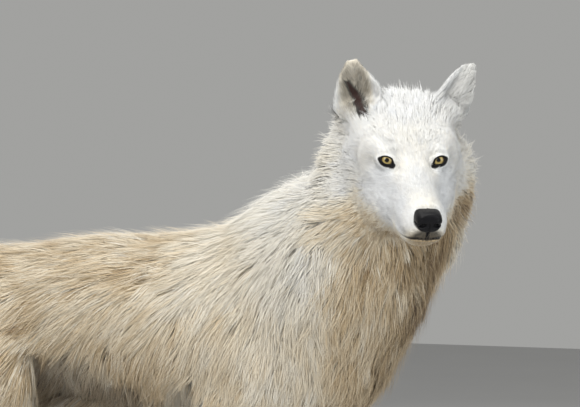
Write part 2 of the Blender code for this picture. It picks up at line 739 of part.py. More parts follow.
def build():
    """Builds every part of the wolf and returns them."""
    whole = fused_body()
    fine = thinned(whole, "fine", HEAD_FACES)
    feet = thinned(whole, "feet", PAW_FACES)
    rest = thinned(whole, "rest", BODY_FACES)
    drop(whole)
    floor = box("floor", (-1, -1, -0.2), (1, 1, 0))
    boolean(feet, "DIFFERENCE", floor)
    boolean(rest, "DIFFERENCE", floor)
    drop(floor)
    pale, cream, tan = (
        make_material(name, colour, 0.85)
        for name, colour in (("white_coat", WHITE), ("cream_coat", CREAM), ("tan_coat", TAN))
    )
    wolf = []

    # Head from neck: a block whose back lies behind the ears and whose floor lies under the jaw
    head = cut_off(rest, fine, "head", head_room("head_room"))
    head_source = copied(head, "head_source")
    wolf.append((jaw(head, head_source), pale))
    drop(head_source)
    pad = nose(head)
    boolean_jaw(wolf[0][0], pad)
    for side, sign in SIDES.items():
        wolf.append((ear(side, head), pale))
        wolf.append((eye(side, sign, head), make_material("iris", AMBER, 0.1)))
    wolf.append((pad, make_material("nose_skin", DARK_SKIN, 0.35)))
    wolf.append((head, pale))

    # Neck from trunk: a plane from the withers to the front of the chest
    ahead = Vector((0.74, 0.0, 0.67))
    neck_room = half_space("neck_room", Vector((0.285, 0.0, 0.660)), ahead)
    wolf.append((cut_off(rest, rest, "neck", neck_room), tan))

    # Tail from rump
    tail_room = box("tail_room", (-0.70, TAIL_ROOM_Y[0], 0.20), (TAIL_ROOT_X, TAIL_ROOM_Y[1], 0.76))
    wolf.append((cut_off(rest, rest, "tail", tail_room), cream))

    # Legs from trunk, and paws from legs
    for side, sign in SIDES.items():
        for end, armpit, rise, span in (
            ("front", Vector((0.0, sign * 0.030, 0.412)), math.radians(46), (0.02, 0.42)),
            ("rear", Vector((0.0, sign * 0.022, 0.482)), math.radians(56), (-0.60, -0.128)),
        ):
            room = wedge("leg_room", sign, armpit, rise, *span)
            leg = cut_off(rest, rest, f"{end}_leg_{side}", room)
            wolf.append((leg, cream))
            paw_top = PAW_TOP_FRONT if end == "front" else PAW_TOP_REAR
            name, paw_x, stance_y, scale = next(p for p in paws() if p[0] == f"{end}_{side}")
            low = (paw_x - 0.10, stance_y - 0.07, -0.1)
            paw_room = box("paw_room", low, (paw_x + 0.12, stance_y + 0.07, paw_top))
            paw = copied(feet, f"paw_{name}")
            boolean(paw, "INTERSECT", paw_room)
            paw_room.data.transform(Matrix.Translation((0, 0, GAP)))
            boolean(leg, "DIFFERENCE", paw_room)
            drop(paw_room)
            wolf.append((largest_body(paw), pale))
            horn = make_material("claw_horn", CLAW_HORN, 0.45)
            for claw in claws(name, paw_x, stance_y, scale, paw):
                wolf.append((claw, horn))
    rest.name = "trunk"
    wolf.append((rest, cream))
    drop(fine, feet)
    return wolf


def boolean_jaw(lower, pad):
    """Clears the jaw of the nose pad's room."""
    room = grown(pad, "nose_room")
    boolean(lower, "DIFFERENCE", room)
    drop(room)


def main():
    """Builds the wolf in a collection of its own."""
    clear_scene()
    collection = bpy.data.collections.new("arctic_wolf")
    bpy.context.scene.collection.children.link(collection)
    wolf = build()
    for obj, material in wolf:
        clean(obj)
        obj.data.name = obj.name
        obj.data.materials.clear()
        obj.data.materials.append(material)
        bpy.context.scene.collection.objects.unlink(obj)
        collection.objects.link(obj)
    stand_on_origin([obj for obj, _ in wolf])


main()
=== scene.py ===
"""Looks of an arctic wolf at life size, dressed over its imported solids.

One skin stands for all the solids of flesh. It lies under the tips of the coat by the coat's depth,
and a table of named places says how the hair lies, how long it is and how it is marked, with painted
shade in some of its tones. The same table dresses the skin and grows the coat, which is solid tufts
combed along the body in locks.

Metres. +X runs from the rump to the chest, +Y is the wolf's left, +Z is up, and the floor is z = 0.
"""

import logging
import math
from dataclasses import dataclass, field
from enum import Enum, IntEnum

import bmesh
import bpy
import numpy as np
from mathutils import Matrix, Vector
from mathutils.bvhtree import BVHTree
from mathutils.kdtree import KDTree


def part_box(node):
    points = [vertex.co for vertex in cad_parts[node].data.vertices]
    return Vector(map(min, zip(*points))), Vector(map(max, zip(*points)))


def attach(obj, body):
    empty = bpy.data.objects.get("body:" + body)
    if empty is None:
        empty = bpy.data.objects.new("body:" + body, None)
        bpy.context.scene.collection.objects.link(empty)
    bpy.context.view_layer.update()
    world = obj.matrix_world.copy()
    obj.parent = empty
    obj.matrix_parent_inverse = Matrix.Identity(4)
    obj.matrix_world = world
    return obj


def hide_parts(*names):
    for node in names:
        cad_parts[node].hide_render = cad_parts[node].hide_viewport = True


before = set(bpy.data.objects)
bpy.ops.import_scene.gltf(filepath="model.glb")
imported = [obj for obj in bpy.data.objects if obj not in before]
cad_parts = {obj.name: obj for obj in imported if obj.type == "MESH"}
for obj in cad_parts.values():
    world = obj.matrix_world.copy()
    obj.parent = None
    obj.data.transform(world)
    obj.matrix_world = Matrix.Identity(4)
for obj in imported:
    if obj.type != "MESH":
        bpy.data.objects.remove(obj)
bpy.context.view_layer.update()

log = logging.getLogger("arctic_wolf")
Colour = tuple[float, float, float]
Triple = tuple[float, float, float]
Rows = np.ndarray  # a row or a number for each point
Piece = bpy.types.Object
Mesh = bpy.types.Mesh
Material = bpy.types.Material
Socket = bpy.types.NodeSocket
Value = Socket | float
Tint = Socket | Colour


class Side(Enum):
    """The two sides of the wolf, as the sign of Y."""

    LEFT = 1
    RIGHT = -1

    @property
    def label(self) -> str:
        """The side's name, as the nodes have it."""
        return self.name.lower()


class Zone(Enum):
    """The frame in which a place of the body is given."""

    HEAD = "head"
    BODY = "body"


# Finishes


@dataclass(frozen=True)
class CoatFinish:
    """Colours of the hair and the hide under it, from the palest marking to the darkest."""

    white: Colour = (0.76, 0.78, 0.80)
    ivory: Colour = (0.90, 0.86, 0.76)
    cream: Colour = (0.84, 0.74, 0.57)
    tan: Colour = (0.62, 0.48, 0.30)
    brown: Colour = (0.36, 0.25, 0.135)
    umber: Colour = (0.13, 0.09, 0.06)
    bare: Colour = (0.006, 0.006, 0.007)
    # grey of the face's marks, and painted shade in the right ear's hollow and canal
    grey_and_shade: Colour = (0.030, 0.030, 0.028)
    # painted shade of the right ear's opening
    canal: Colour = (0.030, 0.014, 0.011)
    roughness: float = 0.62
    specular: float = 0.30
    sheen: float = 0.15
    sheen_roughness: float = 0.45
    root_depth: float = 0.12  # how much darker a hair is at its root: partly the hair's own darker base, partly painted shade deep in the coat
    hide_roughness: float = 0.75
    speckle: float = 0.10

    @property
    def stops(self) -> tuple[tuple[float, Colour], ...]:
        """Tone values and the colours they stand for."""
        return (
            (0.0, self.white),
            (0.16, self.ivory),
            (0.36, self.cream),
            (0.56, self.tan),
            (0.78, self.brown),
            (1.0, self.umber),
        )


@dataclass(frozen=True)
class EyeFinish:
    """Colours of the eyeball, from the pupil outwards."""

    pupil: Colour = (0.003, 0.003, 0.003)
    amber: Colour = (0.29, 0.205, 0.058)
    gold: Colour = (0.54, 0.43, 0.165)
    limbus: Colour = (0.020, 0.012, 0.006)
    white: Colour = (0.010, 0.007, 0.005)
    roughness: float = 0.06
    specular: float = 0.1
    wetness: float = 0.7
    wet_roughness: float = 0.02


@dataclass(frozen=True)
class LeatherFinish:
    """Dark bare skin: the nose and the lid rims."""

    base: Colour = (0.004, 0.004, 0.005)
    worn: Colour = (0.011, 0.011, 0.013)
    roughness: float = 0.34
    specular: float = 0.17
    grain: float = 620.0
    relief: float = 0.30


LID_LEATHER = LeatherFinish((0.004, 0.004, 0.005), (0.010, 0.009, 0.009), 0.5)


@dataclass(frozen=True)
class HornFinish:
    """Claw horn."""

    base: Colour = (0.055, 0.045, 0.038)
    tip: Colour = (0.20, 0.17, 0.14)
    roughness: float = 0.38


@dataclass(frozen=True)
class StudioFinish:
    """Floor and surroundings."""

    floor: Colour = (0.44, 0.44, 0.44)
    surround: Colour = (0.36, 0.36, 0.35)
    surround_strength: float = 1.0


# Small tools


def smooth_ramp(value: Rows, low: float, high: float) -> Rows:
    """A smooth rise from 0 to 1 as value goes from low to high.

    Args:
        value: The values to map.
        low: Where the rise begins.
        high: Where it ends; it may be below low.

    Returns:
        The shares, in the shape of value.
    """
    share = np.clip((value - low) / (high - low), 0.0, 1.0)
    return share * share * (3.0 - 2.0 * share)


def unit(rows: Rows) -> Rows:
    """Rows scaled to length one."""
    return rows / np.maximum(np.linalg.norm(rows, axis=-1, keepdims=True), 1e-9)


def placed(matrix: Matrix, points: Rows) -> Rows:
    """Points moved by a matrix.

    Args:
        matrix: A 4 by 4 transform.
        points: Rows of coordinates.

    Returns:
        The moved rows.
    """
    table = np.array(matrix)
    return points @ table[:3, :3].T + table[:3, 3]


def turned(matrix: Matrix, rows: Rows) -> Rows:
    """Directions turned by a matrix."""
    return rows @ np.array(matrix)[:3, :3].T


def centre_of(node: str) -> Vector:
    """The middle of a node's box."""
    low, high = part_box(node)
    return (low + high) / 2


def three_each(items: bpy.types.bpy_prop_collection, name: str) -> Rows:
    """Three numbers of each item of a mesh.

    Args:
        items: The mesh's vertices or vertex normals.
        name: Which of their values.

    Returns:
        One row for each item.
    """
    rows = np.empty(len(items) * 3, np.float32)
    items.foreach_get(name, rows)
    return rows.reshape(-1, 3).astype(float)


def mesh_points(mesh: Mesh) -> Rows:
    """A mesh's vertices as rows."""
    return three_each(mesh.vertices, "co")


def mesh_normals(mesh: Mesh) -> Rows:
    """A mesh's vertex normals as rows."""
    return three_each(mesh.vertex_normals, "vector")


def set_points(mesh: Mesh, points: Rows) -> None:
    """Moves a mesh's vertices."""
    mesh.vertices.foreach_set("co", points.astype(np.float32).ravel())
    mesh.update()


def mesh_triangles(mesh: Mesh) -> Rows:
    """A mesh cut into triangles.

    Args:
        mesh: The mesh.

    Returns:
        Rows of three vertex numbers.
    """
    mesh.calc_loop_triangles()
    rows = np.empty(len(mesh.loop_triangles) * 3, np.int32)
    mesh.loop_triangles.foreach_get("vertices", rows)
    return rows.reshape(-1, 3)


def set_attribute(mesh: Mesh, name: str, values: Rows) -> None:
    """Stores one number for each vertex."""
    layer = mesh.attributes.get(name) or mesh.attributes.new(name, "FLOAT", "POINT")
    layer.data.foreach_set("value", values.astype(np.float32).ravel())


def linked(name: str, mesh: Mesh) -> Piece:
    """Puts a mesh in the scene.

    Args:
        name: The piece's name, which its mesh takes too.
        mesh: The mesh.

    Returns:
        The new object.
    """
    mesh.name = name
    piece = bpy.data.objects.new(name, mesh)
    bpy.context.scene.collection.objects.link(piece)
    return piece


def from_bmesh(name: str, bm: bmesh.types.BMesh) -> Piece:
    """Makes a smooth-shaded object.

    Args:
        name: The object's name.
        bm: Its shape, which is freed.

    Returns:
        The new object.
    """
    mesh = bpy.data.meshes.new(name)
    bm.to_mesh(mesh)
    bm.free()
    mesh.shade_smooth()
    return linked(name, mesh)


def applied(piece: Piece) -> Piece:
    """Makes a piece's evaluated mesh its own and drops its modifiers.

    Args:
        piece: The object.

    Returns:
        The same object.
    """
    graph = bpy.context.evaluated_depsgraph_get()
    mesh = bpy.data.meshes.new_from_object(piece.evaluated_get(graph))
    old = piece.data
    piece.modifiers.clear()
    piece.data = mesh
    bpy.data.meshes.remove(old)
    mesh.name = piece.name
    return piece


def finish_piece(piece: Piece, material: Material) -> None:
    """Dresses a piece, seats it on the body and reports it.

    Args:
        piece: The finished object.
        material: Its material.
    """
    piece.data.materials.clear()
    piece.data.materials.append(material)
    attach(piece, "root")
    faces = sum(len(p.vertices) - 2 for p in piece.data.polygons)
    log.info("%s: %d triangles", piece.name, faces)


# Materials


class Paint:
    """Builds one node material around its Principled shader."""

    def __init__(self, name: str, roughness: float) -> None:
        """Starts a material.

        Args:
            name: The material's name.
            roughness: Its base roughness.
        """
        self.material = bpy.data.materials.new(name)
        self.material.use_nodes = True
        self.nodes = self.material.node_tree.nodes
        self.links = self.material.node_tree.links
        self.shader = self.nodes["Principled BSDF"]
        self.set("Roughness", roughness)

    def link(self, source: Socket, target: Socket) -> None:
        """Joins two sockets."""
        self.links.new(source, target)

    def set(self, name: str, value: float) -> None:
        """Gives one of the shader's sockets a number."""
        self.shader.inputs[name].default_value = value

    def fill(self, socket: Socket, value: Value | Tint) -> None:
        """Gives a socket its value.

        Args:
            socket: An input of a node.
            value: A number, a colour or the socket that feeds it.
        """
        if isinstance(value, (int, float)):
            socket.default_value = value
        elif isinstance(value, tuple):
            socket.default_value = (*value, 1.0)
        else:
            self.link(value, socket)

    def attribute(self, name: str) -> Socket:
        """Reads what is stored on the mesh.

        Args:
            name: The attribute's name.

        Returns:
            The socket of its number.
        """
        node = self.nodes.new("ShaderNodeAttribute")
        node.attribute_name = name
        return node.outputs["Fac"]

    def noise(self, scale: float, detail: float = 2.0, stretch: Triple = (1.0, 1.0, 1.0)) -> Socket:
        """Noise on object coordinates.

        Args:
            scale: Cells to the metre.
            detail: Octaves.
            stretch: Scale along each axis.

        Returns:
            The noise value's socket.
        """
        place = self.nodes.new("ShaderNodeTexCoord")
        mapping = self.nodes.new("ShaderNodeMapping")
        mapping.inputs["Scale"].default_value = stretch
        texture = self.nodes.new("ShaderNodeTexNoise")
        texture.inputs["Scale"].default_value = scale
        texture.inputs["Detail"].default_value = detail
        self.link(place.outputs["Object"], mapping.inputs["Vector"])
        self.link(mapping.outputs["Vector"], texture.inputs["Vector"])
        return texture.outputs["Fac"]

    def math(self, operation: str, first: Value, second: Value, clamp: bool = False) -> Socket:
        """A sum on two sockets or numbers.

        Args:
            operation: The Math node's operation.
            first: A socket or a number.
            second: A socket or a number.
            clamp: Whether the result is kept from 0 to 1.

        Returns:
            The result's socket.
        """
        node = self.nodes.new("ShaderNodeMath")
        node.operation = operation
        node.use_clamp = clamp
        self.fill(node.inputs[0], first)
        self.fill(node.inputs[1], second)
        return node.outputs[0]

    def ramp(self, value: Socket, stops: tuple[tuple[float, Colour], ...]) -> Socket:
        """Colours picked by a value.

        Args:
            value: The socket that picks.
            stops: Pairs of position and colour.

        Returns:
            The colour's socket.
        """
        node = self.nodes.new("ShaderNodeValToRGB")
        elements = node.color_ramp.elements
        while len(elements) < len(stops):
            elements.new(0.5)
        for element, (position, colour) in zip(elements, stops):
            element.position = position
            element.color = (*colour, 1.0)
        self.link(value, node.inputs["Fac"])
        return node.outputs["Color"]

    def mix(self, share: Value, first: Tint, second: Tint) -> Socket:
        """Two colours mixed.

        Args:
            share: A socket or number, 0 for the first colour.
            first: A colour or a colour socket.
            second: A colour or a colour socket.

        Returns:
            The mixed colour's socket.
        """
        node = self.nodes.new("ShaderNodeMix")
        node.data_type = "RGBA"
        for value, number in ((share, 0), (first, 6), (second, 7)):
            self.fill(node.inputs[number], value)
        return node.outputs[2]

    def colour(self, source: Socket) -> None:
        """Sends a colour to the shader."""
        self.link(source, self.shader.inputs["Base Color"])

    def bump(self, height: Socket, strength: float, distance: float) -> None:
        """Raises the surface.

        Args:
            height: The height's socket.
            strength: How much of it shows.
            distance: The height of 1, in metres.
        """
        node = self.nodes.new("ShaderNodeBump")
        node.inputs["Strength"].default_value = strength
        node.inputs["Distance"].default_value = distance
        self.link(height, node.inputs["Height"])
        self.link(node.outputs["Normal"], self.shader.inputs["Normal"])


def coat_material(finish: CoatFinish) -> Material:
    """The tufts: marked by tone, darker at the root (the hair's own darker base and painted shade deep in
    the coat), each tuft a little apart from its neighbours.

    Args:
        finish: The coat's colours.

    Returns:
        The material.
    """
    paint = Paint("coat_hair", finish.roughness)
    tone = paint.attribute("tone")
    along = paint.attribute("along")
    # darker towards the root: the hair's own darker base, and painted shade deep in the coat
    root = paint.math("SUBTRACT", 1.0, along)
    depth = paint.math("MULTIPLY", paint.math("MULTIPLY", root, root), finish.root_depth)
    shaded = paint.math("ADD", tone, paint.math("MULTIPLY", depth, paint.math("ADD", tone, 0.12)))
    coat = paint.ramp(shaded, finish.stops)
    # grey marks, and painted shade in the right ear's hollow and canal
    paint.colour(paint.mix(paint.attribute("grey_and_shade"), coat, finish.grey_and_shade))
    paint.set("Specular IOR Level", finish.specular)
    paint.set("Sheen Weight", finish.sheen)
    paint.set("Sheen Roughness", finish.sheen_roughness)
    return paint.material


def hide_material(finish: CoatFinish) -> Material:
    """The skin: the coat's markings on short flat hair, some of them painted shade, with grey marks and
    painted shade in the right ear's hollow and canal, and dark where it is bare.

    Args:
        finish: The coat's colours.

    Returns:
        The material.
    """
    paint = Paint("hide", finish.hide_roughness)
    tone = paint.attribute("tone")
    speckle = paint.math("SUBTRACT", paint.noise(420.0, 3.0), 0.5)
    speckle = paint.math("MULTIPLY", speckle, finish.speckle)
    marked = paint.ramp(paint.math("ADD", tone, speckle), finish.stops)
    smoked = paint.mix(paint.attribute("grey_and_shade"), marked, finish.grey_and_shade)
    # painted shade of the right ear's opening
    lined = paint.mix(paint.attribute("canal"), smoked, finish.canal)
    paint.colour(paint.mix(paint.attribute("bare"), lined, finish.bare))
    paint.set("Specular IOR Level", finish.specular)
    paint.bump(paint.noise(700.0, 4.0), 0.5, 0.0006)
    return paint.material


def eye_material(finish: EyeFinish) -> Material:
    """The eyeball: pupil, streaked iris, dark edge and the dim white, under a wet gloss.

    Args:
        finish: The eye's colours.

    Returns:
        The material.
    """
    paint = Paint("eyeball", finish.roughness)
    reach = paint.attribute("reach")
    streak = paint.attribute("streak")
    colours = paint.ramp(
        paint.math("MULTIPLY", reach, 0.5),
        (
            (0.190, finish.pupil),
            (0.212, finish.amber),
            (0.32, finish.gold),
            (0.42, finish.amber),
            (0.49, finish.limbus),
            (0.56, finish.white),
        ),
    )
    paint.colour(paint.mix(paint.math("MULTIPLY", streak, 0.45), colours, finish.limbus))
    paint.set("Specular IOR Level", finish.specular)
    paint.set("Coat Weight", finish.wetness)
    paint.set("Coat Roughness", finish.wet_roughness)
    return paint.material


def leather_material(name: str, finish: LeatherFinish) -> Material:
    """Dark pebbled skin.

    Args:
        name: The material's name.
        finish: Its colours and grain.

    Returns:
        The material.
    """
    paint = Paint(name, finish.roughness)
    place = paint.nodes.new("ShaderNodeTexCoord")
    cells = paint.nodes.new("ShaderNodeTexVoronoi")
    cells.inputs["Scale"].default_value = finish.grain
    paint.link(place.outputs["Object"], cells.inputs["Vector"])
    worn = paint.math("MULTIPLY", paint.noise(90.0, 3.0), 0.8, True)
    paint.colour(paint.mix(worn, finish.base, finish.worn))
    paint.bump(cells.outputs["Distance"], finish.relief, 0.0007)
    paint.set("Specular IOR Level", finish.specular)
    return paint.material


def horn_material(finish: HornFinish) -> Material:
    """Claw horn with lengthwise streaks, paler where it is worn.

    Args:
        finish: The horn's colours.

    Returns:
        The material.
    """
    paint = Paint("claw_horn", finish.roughness)
    streaks = paint.noise(260.0, 3.0, (0.15, 1.0, 1.0))
    paint.colour(paint.mix(streaks, finish.base, finish.tip))
    paint.bump(streaks, 0.3, 0.0004)
    return paint.material


def plain_material(name: str, colour: Colour, roughness: float) -> Material:
    """A quiet surface with a little mottling, for the floor.

    Args:
        name: The material's name.
        colour: Its colour.
        roughness: Its roughness.

    Returns:
        The material.
    """
    paint = Paint(name, roughness)
    lighter = tuple(min(1.0, c * 1.06) for c in colour)
    paint.colour(paint.mix(paint.noise(3.0), colour, lighter))
    return paint.material


# Where things are

# Each ear's base in the head's frame, and its swivel and flare in degrees
EAR_SEATS = {
    Side.LEFT: ((0.006, 0.0635, 0.068), 30, -36),
    Side.RIGHT: ((0.006, -0.0615, 0.066), -12, 9),
}


@dataclass(frozen=True)
class Landmarks:
    """The frames of the head, the ears and the body, found from the solids."""

    head_turn: float = math.radians(-61)
    head_nod: float = math.radians(20)
    eye_place: Triple = (0.1110, 0.0378, 0.0465)
    front_paws_x: float = 0.2539
    ear_tip_back: float = math.radians(-10)
    ear_near: Triple = (-0.010, 0.034, 0.044)  # the ear's middle, and how far it reaches in x and y
    ear_top: float = 0.115

    @property
    def head(self) -> Matrix:
        """The head's frame.

        Returns:
            x forward from the middle of the skull, y left, z up.
        """
        turn = Matrix.Rotation(self.head_turn, 4, "Z") @ Matrix.Rotation(self.head_nod, 4, "Y")
        between = (centre_of("eye_left") + centre_of("eye_right")) / 2
        place = Vector((self.eye_place[0], 0.0, self.eye_place[2]))
        return Matrix.Translation(between - turn.to_3x3() @ place) @ turn

    @property
    def body(self) -> Matrix:
        """The body's frame, in which y = 0 is the middle of the trunk."""
        paws = (centre_of("paw_front_left") + centre_of("paw_front_right")) / 2
        return Matrix.Translation((paws.x - self.front_paws_x, paws.y, 0.0))

    def ear(self, side: Side) -> Matrix:
        """One ear's frame: x out of its opening, z from its base to its tip.

        Args:
            side: Which ear.

        Returns:
            The frame.
        """
        base, swivel, flare = EAR_SEATS[side]
        turn = (
            Matrix.Rotation(math.radians(flare), 4, "X")
            @ Matrix.Rotation(self.ear_tip_back, 4, "Y")
            @ Matrix.Rotation(math.radians(swivel), 4, "Z")
        )
        return self.head @ Matrix.Translation(base) @ turn

    def frame_of(self, zone: Zone) -> Matrix:
        """The frame that a zone's places are given in."""
        return self.head if zone is Zone.HEAD else self.body

    def in_head(self, points: Rows) -> Rows:
        """Points of the model, in the head's frame."""
        return placed(self.head.inverted(), points)

    def in_ear(self, side: Side, points: Rows, normals: Rows) -> tuple[Rows, Rows]:
        """Points of the model, in an ear's frame.

        Args:
            side: Which ear.
            points: Rows of coordinates.
            normals: The skin's normals there.

        Returns:
            The points, and how far each one's normal points out of the ear's opening.
        """
        to_ear = self.ear(side).inverted()
        return placed(to_ear, points), turned(to_ear, normals)[:, 0]

    def on_ear(self, local: Rows) -> Rows:
        """Finds the points that belong to an ear.

        Args:
            local: Points in the ear's frame.

        Returns:
            Whether each lies on the ear or close to it.
        """
        middle, thick, wide = self.ear_near
        near = (np.abs(local[:, 0] - middle) < thick) & (np.abs(local[:, 1]) < wide)
        return near & (local[:, 2] < self.ear_top)


# How the coat lies


@dataclass(frozen=True)
class Hair:
    """What one kind of coat is like: root spacing, tuft width, lock size, clumping, hang and rise."""

    spacing: float
    width: float
    lock: float
    clump: float
    hang: float
    rise: float = 1.0


class Kind(Enum):
    """The kinds of coat on the wolf."""

    VELVET = Hair(0.00150, 0.0008, 0.0050, 0.24, 0.0)
    CHEEK = Hair(0.00190, 0.0009, 0.0080, 0.26, 0.1)
    CROWN = Hair(0.00190, 0.0009, 0.0080, 0.30, 0.8, 2.2)
    RUFF = Hair(0.0023, 0.0010, 0.0130, 0.28, 0.3)
    MANE = Hair(0.0024, 0.0010, 0.0140, 0.34, 0.25)
    BODY = Hair(0.0024, 0.0010, 0.0180, 0.26, 0.08)
    FRINGE = Hair(0.0023, 0.0010, 0.0140, 0.40, 0.8)
    LEG = Hair(0.0029, 0.0015, 0.0100, 0.35, 0.0)
    PAW = Hair(0.0022, 0.0011, 0.0050, 0.25, 0.0)
    BRUSH = Hair(0.0027, 0.0014, 0.0140, 0.42, 0.3)


@dataclass(frozen=True)
class Guide:
    """How the coat lies at one named place; off the middle a head place holds for both sides, and so does a
    body place on the left (y above 0), while one on the right holds for that side only.
    """

    name: str
    kind: Kind
    place: Triple
    flow: Triple
    length: float
    depth: float
    tone: float
    streak: float


V, C, K, R, M, B = Kind.VELVET, Kind.CHEEK, Kind.CROWN, Kind.RUFF, Kind.MANE, Kind.BODY
F, L, P, T = Kind.FRINGE, Kind.LEG, Kind.PAW, Kind.BRUSH

HEAD_GUIDES = (
    Guide("nose_top", V, (0.222, 0.0, 0.034), (-1.0, 0.0, 0.15), 0.005, 0.0012, 0.12, 0.1),
    Guide("nose_bridge", V, (0.205, 0.0, 0.037), (-1.0, 0.0, 0.1), 0.0062, 0.0013, 0.07, 0.16),
    Guide("nose_side", V, (0.23, 0.021, 0.008), (-0.8, 0.55, 0.1), 0.0045, 0.001, 0.03, 0.06),
    Guide("bridge", V, (0.18, 0.0, 0.041), (-1.0, 0.0, 0.05), 0.0075, 0.0015, 0.03, 0.1),
    Guide("bridge_root", V, (0.15, 0.0, 0.048), (-1.0, 0.0, 0.15), 0.009, 0.002, 0.03, 0.12),
    Guide("stop", V, (0.125, 0.0, 0.062), (-0.85, 0.0, 0.5), 0.012, 0.003, 0.08, 0.16),
    Guide("forehead", V, (0.095, 0.0, 0.083), (-0.8, 0.0, 0.45), 0.016, 0.004, 0.08, 0.12),
    Guide("forehead_side", V, (0.09, 0.03, 0.08), (-0.8, 0.25, 0.45), 0.015, 0.004, 0.06, 0.12),
    Guide("crown_front", K, (0.055, 0.0, 0.098), (-0.85, 0.0, 0.5), 0.024, 0.006, 0.03, 0.1),
    Guide("crown", K, (0.015, 0.0, 0.107), (-0.85, 0.0, 0.55), 0.034, 0.0085, 0.03, 0.1),
    Guide("crown_side", K, (0.02, 0.04, 0.104), (-0.85, 0.1, 0.55), 0.03, 0.008, 0.03, 0.1),
    Guide("nape_top", R, (-0.04, 0.0, 0.108), (-1.0, 0.0, -0.25), 0.0538, 0.016, 0.05, 0.15),
    Guide("nape_side", R, (-0.05, 0.06, 0.085), (-0.9, 0.15, -0.45), 0.0538, 0.016, 0.05, 0.15),
    Guide("nape", R, (-0.085, 0.0, 0.08), (-0.7, 0.0, -0.7), 0.0616, 0.019, 0.06, 0.2),
    Guide("ear_fore", C, (0.048, 0.064, 0.08), (-0.55, 0.35, 0.6), 0.018, 0.0045, 0.05, 0.1),
    Guide("ear_side", R, (-0.005, 0.1, 0.05), (-0.8, 0.35, -0.3), 0.05, 0.015, 0.1, 0.15),
    Guide("brow", V, (0.108, 0.042, 0.064), (-0.75, 0.45, 0.55), 0.009, 0.0022, 0.05, 0.16),
    Guide("eye_inner", V, (0.134, 0.019, 0.046), (-0.55, 0.5, 0.45), 0.007, 0.0015, 0.09, 0.16),
    Guide("eye_under", V, (0.126, 0.046, 0.028), (-0.9, 0.35, -0.15), 0.0085, 0.002, 0.0, 0.05),
    Guide("eye_outer", V, (0.092, 0.066, 0.047), (-0.9, 0.45, 0.1), 0.011, 0.003, 0.06, 0.12),
    Guide("temple", C, (0.06, 0.082, 0.04), (-0.9, 0.3, -0.05), 0.02, 0.006, 0.03, 0.14),
    Guide("muzzle_side", V, (0.19, 0.034, 0.006), (-1.0, 0.12, -0.12), 0.0075, 0.0016, 0.0, 0.05),
    Guide("muzzle_root", V, (0.15, 0.042, 0.005), (-1.0, 0.25, -0.1), 0.0095, 0.002, 0.0, 0.05),
    Guide("lip", V, (0.205, 0.032, -0.012), (-0.9, 0.2, -0.45), 0.0065, 0.0014, 0.0, 0.05),
    Guide("lip_rear", V, (0.165, 0.038, -0.016), (-0.9, 0.2, -0.4), 0.0085, 0.002, 0.0, 0.08),
    # chin, jaw_side and jaw_under: darker tones, partly the real tan there and partly painted shade under
    # the jaw
    Guide("chin", V, (0.236, 0.0, -0.036), (-0.75, 0.0, -0.6), 0.008, 0.002, 0.58, 0.36),
    Guide("jaw_side", V, (0.19, 0.028, -0.036), (-1.0, 0.05, -0.25), 0.009, 0.002, 0.26, 0.24),
    Guide("jaw_under", C, (0.17, 0.0, -0.055), (-1.0, 0.0, -0.35), 0.016, 0.004, 0.42, 0.25),
    Guide("cheek_front", C, (0.112, 0.062, 0.000), (-0.9, 0.35, -0.25), 0.013, 0.0032, 0.01, 0.08),
    Guide("cheek", C, (0.07, 0.09, -0.01), (-0.85, 0.4, -0.4), 0.024, 0.007, 0.06, 0.14),
    Guide("cheek_low", C, (0.085, 0.072, -0.05), (-0.75, 0.25, -0.65), 0.026, 0.007, 0.44, 0.42),
    Guide("cheek_edge", C, (0.098, 0.07, -0.024), (-0.8, 0.3, -0.55), 0.02, 0.005, 0.26, 0.3),
    Guide("cheek_fringe", C, (0.116, 0.052, -0.046), (-0.65, 0.25, -0.75), 0.02, 0.005, 0.44, 0.4),
    Guide("ruff_top", R, (0.01, 0.115, 0.02), (-0.8, 0.4, -0.35), 0.047, 0.014, 0.14, 0.22),
    Guide("ruff", R, (0.062, 0.092, -0.076), (-0.7, 0.3, -0.7), 0.0616, 0.018, 0.3, 0.34),
    Guide("ruff_rear", R, (-0.045, 0.134, -0.066), (-0.7, 0.3, -0.7), 0.064, 0.018, 0.12, 0.16),
    Guide("ruff_upper", R, (-0.01, 0.116, -0.045), (-0.7, 0.3, -0.7), 0.06, 0.0176, 0.1, 0.24),
    Guide("ruff_side", R, (0.01, 0.12, -0.09), (-0.6, 0.25, -0.8), 0.064, 0.0185, 0.12, 0.24),
    Guide("ruff_side_low", R, (0.02, 0.112, -0.12), (-0.5, 0.2, -0.9), 0.064, 0.019, 0.18, 0.24),
    Guide("ruff_low", R, (0.085, 0.068, -0.128), (-0.5, 0.15, -0.95), 0.0672, 0.02, 0.5, 0.44),
    Guide("throat", M, (0.06, 0.0, -0.1), (-0.6, 0.0, -0.8), 0.064, 0.014, 0.66, 0.42),
    Guide("throat_front", C, (0.11, 0.0, -0.078), (-0.8, 0.0, -0.55), 0.03, 0.008, 0.5, 0.45),
)

